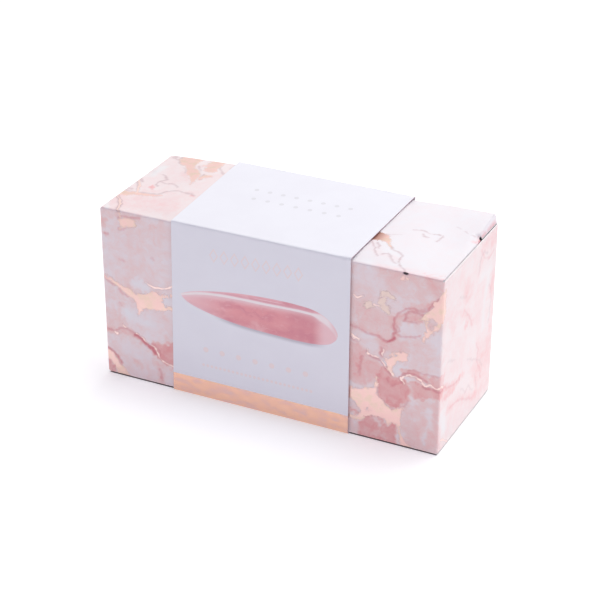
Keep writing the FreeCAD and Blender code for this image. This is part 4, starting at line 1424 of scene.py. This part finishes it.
def make_dust(word, side, level, up):
    """A dust flap, folded in from the top or the bottom panel's end, with its slanted outline."""
    sign = -1.0 if up else 1.0
    face_z = LID if up else BASE
    radius = DUST_AXIS_X + BOARD - FLAP_ROOT_X
    tip_z = TOP_DUST[0][2] if up else BASE + BOARD + DUST_LENGTH
    corners = [(FLAP_ROOT_X, face_z), (FLAP_ROOT_X + radius, face_z), (FLAP_ROOT_X + radius, tip_z)]
    path = fold(corners, [radius], [1.5, 1.5], turn=-sign, bend_steps=8)
    origin = DUST_ROOT[0] - DUST_SIDE
    slope = DUST_SLANT / (DUST_LENGTH - DUST_SHOULDER_RUN)
    taper = DUST_NARROWING / (DUST_LENGTH - DUST_STRAIGHT_RUN)

    def place(point, way, s, share):
        run = abs(face_z - point[1]) - BOARD
        low = DUST_SIDE + DUST_SHOULDER * min(1.0, max(0.0, run / DUST_SHOULDER_RUN))
        low += slope * max(0.0, run - DUST_SHOULDER_RUN)
        high = DUST_WIDTH - taper * max(0.0, run - DUST_STRAIGHT_RUN)
        into = min(DUST_ROUNDING, max(0.0, run - (DUST_LENGTH - DUST_ROUNDING)))
        trim = DUST_ROUNDING - math.sqrt(DUST_ROUNDING ** 2 - into ** 2)
        y = origin + low + trim + (high - low - 2 * trim) * share
        return (point[0], y, point[1]), (way[0], 0.0, way[1])

    def blank(p, s):
        return FLAP_ROOT_X + s, HEIGHT + DEPTH + p[1] if up else -(DEPTH + p[1])

    middle = 0.5 * (DUST_ROOT[0] + DUST_ROOT[1])
    crease = [(FLAP_ROOT_X, middle, face_z), (FLAP_ROOT_X + radius, middle, face_z + sign * radius)]
    name = word.capitalize() + "_" + level.capitalize() + "_Dust_Flap"
    body = word + "_" + level + "_dust"
    flap(name, side, path, 40, place, blank, crease, body + "_flap")


# -----------------------------------------------------------------------------
# Sleeve
# -----------------------------------------------------------------------------


def sleeve_rise(x, y):
    """How far the sleeve's top follows the sprung lid: up at its back, a little down at its front left."""
    low, high = SLEEVE_TOP[0][0], SLEEVE_TOP[1][0]
    across = np.clip((y - SLEEVE_FRONT[0][1]) / (-2 * SLEEVE_FRONT[0][1]), 0.0, 1.0)
    sink = SLEEVE_SINK * np.clip((high - x) / (high - low), 0.0, 1.0)
    return SLEEVE_RISE * across - sink * (1.0 - across)


# How far the sleeve's cut edges run out of square: at the base, more at the top, and more again at the back
LEFT_EDGE = (-0.6, 2.0)
RIGHT_EDGE = (0.1, 0.4, 2.2)
SLEEVE_BOW = 0.15


def make_sleeve():
    """The sleeve: one strip creased round the carton, cut a little out of square, its lap glued inside."""
    half = -SLEEVE_FRONT[0][1]
    low, high = 0.0, SLEEVE_TOP[1][2]
    lap_y = half - SLEEVE_BOARD
    corners = [
        (lap_y, SLEEVE_LAP[1][2]), (lap_y, low), (-half, low), (-half, high), (half, high),
        (half, low + 0.3),
    ]
    points, normals, along = fold(corners, [0.6] + [CREASE] * 3, [2.0, 2.0, 1.6, 1.6, 2.0])
    along = along - (SLEEVE_LAP[1][2] + lap_y + half)
    shares = np.array(stations(0.0, 1.0, 0.016))
    left, right = SLEEVE_FRONT[0][0], SLEEVE_FRONT[1][0]
    height_share = np.clip((points[:, 1] - low) / (high - low), 0, 1)
    taper = np.where(along < -2 * half + 1.0, SLEEVE_LAP[0][0] - left, 0.0)
    depth_share = np.clip((points[:, 0] + half) / (2 * half), 0, 1)
    x0 = left + LEFT_EDGE[0] + LEFT_EDGE[1] * height_share + taper
    x1 = right + RIGHT_EDGE[0] + RIGHT_EDGE[1] * height_share - taper
    x1 = x1 + RIGHT_EDGE[2] * depth_share * height_share
    x = x0[:, None] + (x1 - x0)[:, None] * shares[None, :]
    y, z = spread(points, len(shares))
    z = z + sleeve_rise(x, y) * np.where(z > low + 20, ((z - low) / (high - low)) ** 3, 0.0)
    bow = np.sin(math.pi * height_share)[:, None] * np.sin(math.pi * shares)[None, :]
    flare = SLEEVE_FLARE * ease((shares - SLEEVE_FLARE_FROM) / 0.07)[None, :]
    y = y - np.where(y < -half + 0.01, 1.0, 0.0) * (SLEEVE_BOW * bow + flare)
    z = z + np.where((z > high - 0.01) & (y < 20), 1.0, 0.0) * flare * 0.6 * ease((20.0 - y) / 30.0)
    made = strip("Sleeve_Sheet", x, y, z, normals, along, SLEEVE_BOARD, SLEEVE_LOOK)
    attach(made, "sleeve")
    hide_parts("sleeve_front_panel", "sleeve_back_panel", "sleeve_top_panel", "sleeve_bottom_panel",
                "sleeve_glue_lap")


# -----------------------------------------------------------------------------
# Platform, cradle and stone
# -----------------------------------------------------------------------------


def make_platform():
    """The platform: one strip folded down along both sides into legs."""
    half = DECK[1][1]
    deck = DECK[1][2]
    foot = LEG[0][2]
    corners = [(-half, foot), (-half, deck), (half, deck), (half, foot)]
    points, normals, along = fold(corners, [CREASE] * 2, [2.0, 2.5, 2.0])
    places = np.array(stations(DECK[0][0], DECK[1][0], 3.0))
    x = np.repeat(places[None, :], len(points), 0)
    y, z = spread(points, len(places))
    made = strip("Platform_Sheet", x, y, z, normals, along, BOARD, HOLDER_LOOK)
    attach(made, "carton")
    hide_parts("platform_deck", "platform_front_leg", "platform_back_leg")


# The radius that scales the stone's outline, in millimetres, and how far out of round the stone is ground
STONE_RADIUS = 18.8
OVAL, LOBES = 0.006, 0.003


def stone_curve(grow, count):
    """The wand's radius along its length: a clamped cubic B-spline through given control points."""
    length = STONE[1][0] - STONE[0][0]
    full = STONE_RADIUS + grow
    tip, end = STONE[0][0] - grow, STONE[1][0] + grow
    control = np.array([
        (tip, 0.0), (tip, 0.34 * full), (tip + 0.13 * length, 0.66 * full),
        (tip + 0.44 * length, 0.98 * full), (tip + 0.80 * length, 1.03 * full), (end, 0.98 * full),
        (end, 0.0),
    ])
    degree = 3
    inner = len(control) - degree
    knots = np.concatenate([np.zeros(degree), np.linspace(0, 1, inner + 1), np.ones(degree)])
    spaced = 0.5 - 0.5 * np.cos(np.linspace(0.0, math.pi, count))
    curve = []
    for t in np.clip(spaced, 0.0, 1.0 - 1e-9):
        k = int(np.searchsorted(knots, t, side="right") - 1)
        d = [control[j + k - degree].copy() for j in range(degree + 1)]
        for r in range(1, degree + 1):
            for j in range(degree, r - 1, -1):
                i = j + k - degree
                a = (t - knots[i]) / (knots[i + degree - r + 1] - knots[i])
                d[j] = (1 - a) * d[j - 1] + a * d[j]
        curve.append(d[degree])
    return np.array(curve)


def make_stone():
    """The wand itself, ground by hand: very slightly out of round."""
    curve = stone_curve(0.0, 120)
    around = 96
    axis_z = 0.5 * (STONE[0][2] + STONE[1][2])
    verts = [(curve[0][0], 0.0, axis_z)]
    for x, radius in curve[1:-1]:
        for k in range(around):
            angle = math.tau * k / around
            hand = 1.0 - OVAL - OVAL * math.sin(2 * angle + x * 0.03) - LOBES * math.sin(3 * angle + 1.0)
            verts.append((x, radius * hand * math.cos(angle), axis_z + radius * hand * math.sin(angle)))
    verts.append((curve[-1][0], 0.0, axis_z))
    faces = []
    rings = len(curve) - 2
    for i in range(rings - 1):
        for k in range(around):
            a, b = 1 + i * around + k, 1 + i * around + (k + 1) % around
            faces.append((a, a + around, b + around, b))
    last = len(verts) - 1
    for k in range(around):
        after = (k + 1) % around
        faces.append((0, 1 + k, 1 + after))
        faces.append((last, last - around + after, last - around + k))
    made = new_object("Gua_Sha_Wand", verts, faces, [QUARTZ], smooth_deg=80.0)
    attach(made, "wand")
    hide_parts("gua_sha_wand")


def make_foam():
    """The cradle: a cut foam block with softened edges and a recess that fits the stone's lower half."""
    low, high = FOAM
    half = high[1]
    soft = 1.4
    lip = 1.0
    corner = 3.0
    wave = 0.12
    profile = stone_curve(0.4, 200)
    tip, end = profile[0][0], profile[-1][0]
    rim_z = high[2]
    places = set()
    for start, stop, spacing in (
        (low[0], tip, 1.6), (tip, tip + 8, 0.5), (tip + 8, end - 10, 1.5), (end - 10, end, 0.4),
        (end, high[0], 1.6),
    ):
        places.update(stations(start, stop, spacing))
    places = sorted(places)
    order = np.argsort(profile[:, 0])
    rows = []
    for x in places:
        inside_recess = tip < x < end
        radius = float(np.interp(x, profile[order, 0], profile[order, 1])) if inside_recess else 0.0
        from_end = min(x - low[0], high[0] - x)
        pull = corner - math.sqrt(max(0.0, corner ** 2 - max(0.0, corner - from_end) ** 2))
        side = half - pull
        sag = soft - math.sqrt(max(0.0, soft ** 2 - max(0.0, soft - from_end) ** 2))
        rows.append(foam_section(side, low[2], rim_z - sag, radius, soft, lip))
    outer = np.array([[(x, y, z) for y, z in row] for x, row in zip(places, rows)])
    outer[:, :, 2] += wave * ripple(outer[:, :, 0], outer[:, :, 1], 24.0, 21) * (outer[:, :, 2] > low[2] + 8)
    outer[:, :, 2] = np.minimum(outer[:, :, 2], rim_z + 0.2)
    count_x, count_s = outer.shape[:2]
    verts = outer.reshape(-1, 3)
    faces = []
    for i in range(count_x - 1):
        for j in range(count_s):
            after = (j + 1) % count_s
            a, b = i * count_s + j, i * count_s + after
            faces.append((a, b, b + count_s, a + count_s))
    faces.append(tuple(range(count_s))[::-1])
    faces.append(tuple((count_x - 1) * count_s + j for j in range(count_s)))
    made = new_object("Foam_Cradle", verts, faces, [FOAM_LOOK], smooth_deg=50.0)
    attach(made, "carton")
    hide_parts("foam_cradle")


def foam_section(side, base, rim, radius, soft, lip):
    """One closed cross-section of the cradle: up from its base, over the rim, down the recess and back."""
    half = []
    for k in range(5):
        half.append((-side, base + (rim - soft - base) * k / 4))
    for k in range(1, 7):
        angle = math.pi / 2 * k / 6
        half.append((-side + soft - soft * math.cos(angle), rim - soft + soft * math.sin(angle)))
    reach = max(radius, 0.6)
    depth = radius
    edge = reach + lip
    for k in range(1, 9):
        half.append((-side + soft + (side - soft - edge) * k / 8, rim))
    for k in range(1, 6):
        angle = math.pi / 2 * k / 6
        drop = lip * (1 - math.cos(angle)) if depth > lip * 2 else 0.0
        half.append((-edge + lip * math.sin(angle), rim - drop))
    start = math.asin(min(1.0, lip / max(depth, lip))) if depth > lip * 2 else 0.0
    for k in range(15):
        angle = start + (math.pi / 2 - start) * k / 14
        half.append((-reach * math.cos(angle), rim - depth * math.sin(angle)))
    mirrored = [(-y, z) for y, z in reversed(half[:-1])]
    return half + mirrored


# -----------------------------------------------------------------------------
# Stage
# -----------------------------------------------------------------------------


FLOOR_GLOW = 0.40


def make_floor():
    """A plain pale floor that fills the view from any side, with a painted shadow where the box stands on
    it: dark there and without its glow.
    """
    n = Nodes("Studio_Floor")
    at = n.place()
    tone = n.noise(at, 0.004, 3.0, 0.5)
    x, y, _ = n.parts(at)
    # Painted contact shadow: under the box's footprint the floor is dark and does not glow
    along = n.step(n.math("ABSOLUTE", x), END, END - 1.5)
    across = n.step(n.math("ABSOLUTE", y), DEPTH + 0.3, DEPTH - 0.8)
    under = n.times(along, across)
    glow = n.times(n.minus(1.0, under), FLOOR_GLOW)
    pale = n.mix(tone, (0.86, 0.86, 0.862), (0.88, 0.88, 0.88))
    n.set(Base_Color=n.mix(under, pale, (0.25, 0.205, 0.21)), Roughness=0.9)
    n.set(Emission_Color=(1.0, 1.0, 0.99), Emission_Strength=glow)
    size = 9000.0
    verts = [(-size, -size, 0), (size, -size, 0), (size, size, 0), (-size, size, 0)]
    floor = new_object("Studio_Floor", verts, [(0, 1, 2, 3)], [n.material])


def area_light(name, place, target, size, power, colour):
    """A soft square lamp aimed at a point. Places are in metres."""
    lamp = bpy.data.lights.new(name, "AREA")
    lamp.shape = "SQUARE"
    lamp.size = size
    lamp.energy = power
    lamp.color = colour
    made = bpy.data.objects.new(name, lamp)
    bpy.context.scene.collection.objects.link(made)
    aim = np.array(place, float) - np.array(target, float)
    back = aim / np.linalg.norm(aim)
    right = np.cross((0.0, 1.0, 0.0) if abs(back[2]) > 0.9 else (0.0, 0.0, 1.0), back)
    right = right / np.linalg.norm(right)
    up = np.cross(back, right)
    turn = Matrix(np.stack([right, up, back], 1).tolist()).to_4x4()
    made.matrix_world = Matrix.Translation(place) @ turn


def make_world():
    """An even studio surround, cooler in front and brighter behind, so that foil has something to mirror."""
    world = bpy.data.worlds.new("Studio_World")
    bpy.context.scene.world = world
    world.use_nodes = True
    tree = world.node_tree
    tree.nodes.clear()
    out, background, coordinates, dot, fade, colour = (
        tree.nodes.new("ShaderNode" + kind)
        for kind in ("OutputWorld", "Background", "TexCoord", "VectorMath", "MapRange", "Mix")
    )
    dot.operation = "DOT_PRODUCT"
    dot.inputs[1].default_value = (-0.35, 0.85, 0.40)
    fade.interpolation_type = "SMOOTHSTEP"
    fade.inputs[1].default_value = 0.40
    fade.inputs[2].default_value = 0.98
    colour.data_type = "RGBA"
    colour.inputs[6].default_value = (0.31, 0.295, 0.385, 1.0)
    colour.inputs[7].default_value = (0.90, 0.89, 0.89, 1.0)
    tree.links.new(coordinates.outputs["Generated"], dot.inputs[0])
    tree.links.new(dot.outputs["Value"], fade.inputs[0])
    tree.links.new(fade.outputs[0], colour.inputs[0])
    tree.links.new(colour.outputs[2], background.inputs[0])
    tree.links.new(background.outputs[0], out.inputs[0])


def make_camera():
    """The camera at the photograph's viewing angle. Its place is in metres."""
    place = (0.38659, -0.78783, 0.51325)
    right = (0.89836, 0.43925, 0.00053)
    up = (-0.20517, 0.41855, 0.88471)
    back = (0.38839, -0.79490, 0.46613)
    data = bpy.data.cameras.new("Camera")
    data.lens = 108.87
    data.sensor_width = 36.0
    data.clip_end = 50.0
    camera = bpy.data.objects.new("Camera", data)
    bpy.context.scene.collection.objects.link(camera)
    turn = Matrix([[right[i], up[i], back[i]] for i in range(3)]).to_4x4()
    camera.matrix_world = Matrix.Translation(place) @ turn
    bpy.context.scene.camera = camera


make_carton()
for end_word, end_side in (("right", 1.0), ("left", -1.0)):
    make_closure(end_word, end_side)
    make_tuck(end_word, end_side)
    make_dust(end_word, end_side, "top", True)
    make_dust(end_word, end_side, "bottom", False)
make_sleeve()
make_platform()
make_foam()
make_stone()

make_floor()
make_world()
area_light("Key_Light", place=(0.22, 0.34, 1.30), target=(0.0, 0.0, 0.05), size=0.95, power=11.4,
           colour=(0.985, 1.015, 0.955))
area_light("Side_Light", place=(1.3, -0.05, 0.5), target=(0.1, 0.0, 0.05), size=0.8, power=1.6,
           colour=(1.0, 1.0, 0.98))
make_camera()
bpy.context.scene.view_settings.view_transform = "Standard"
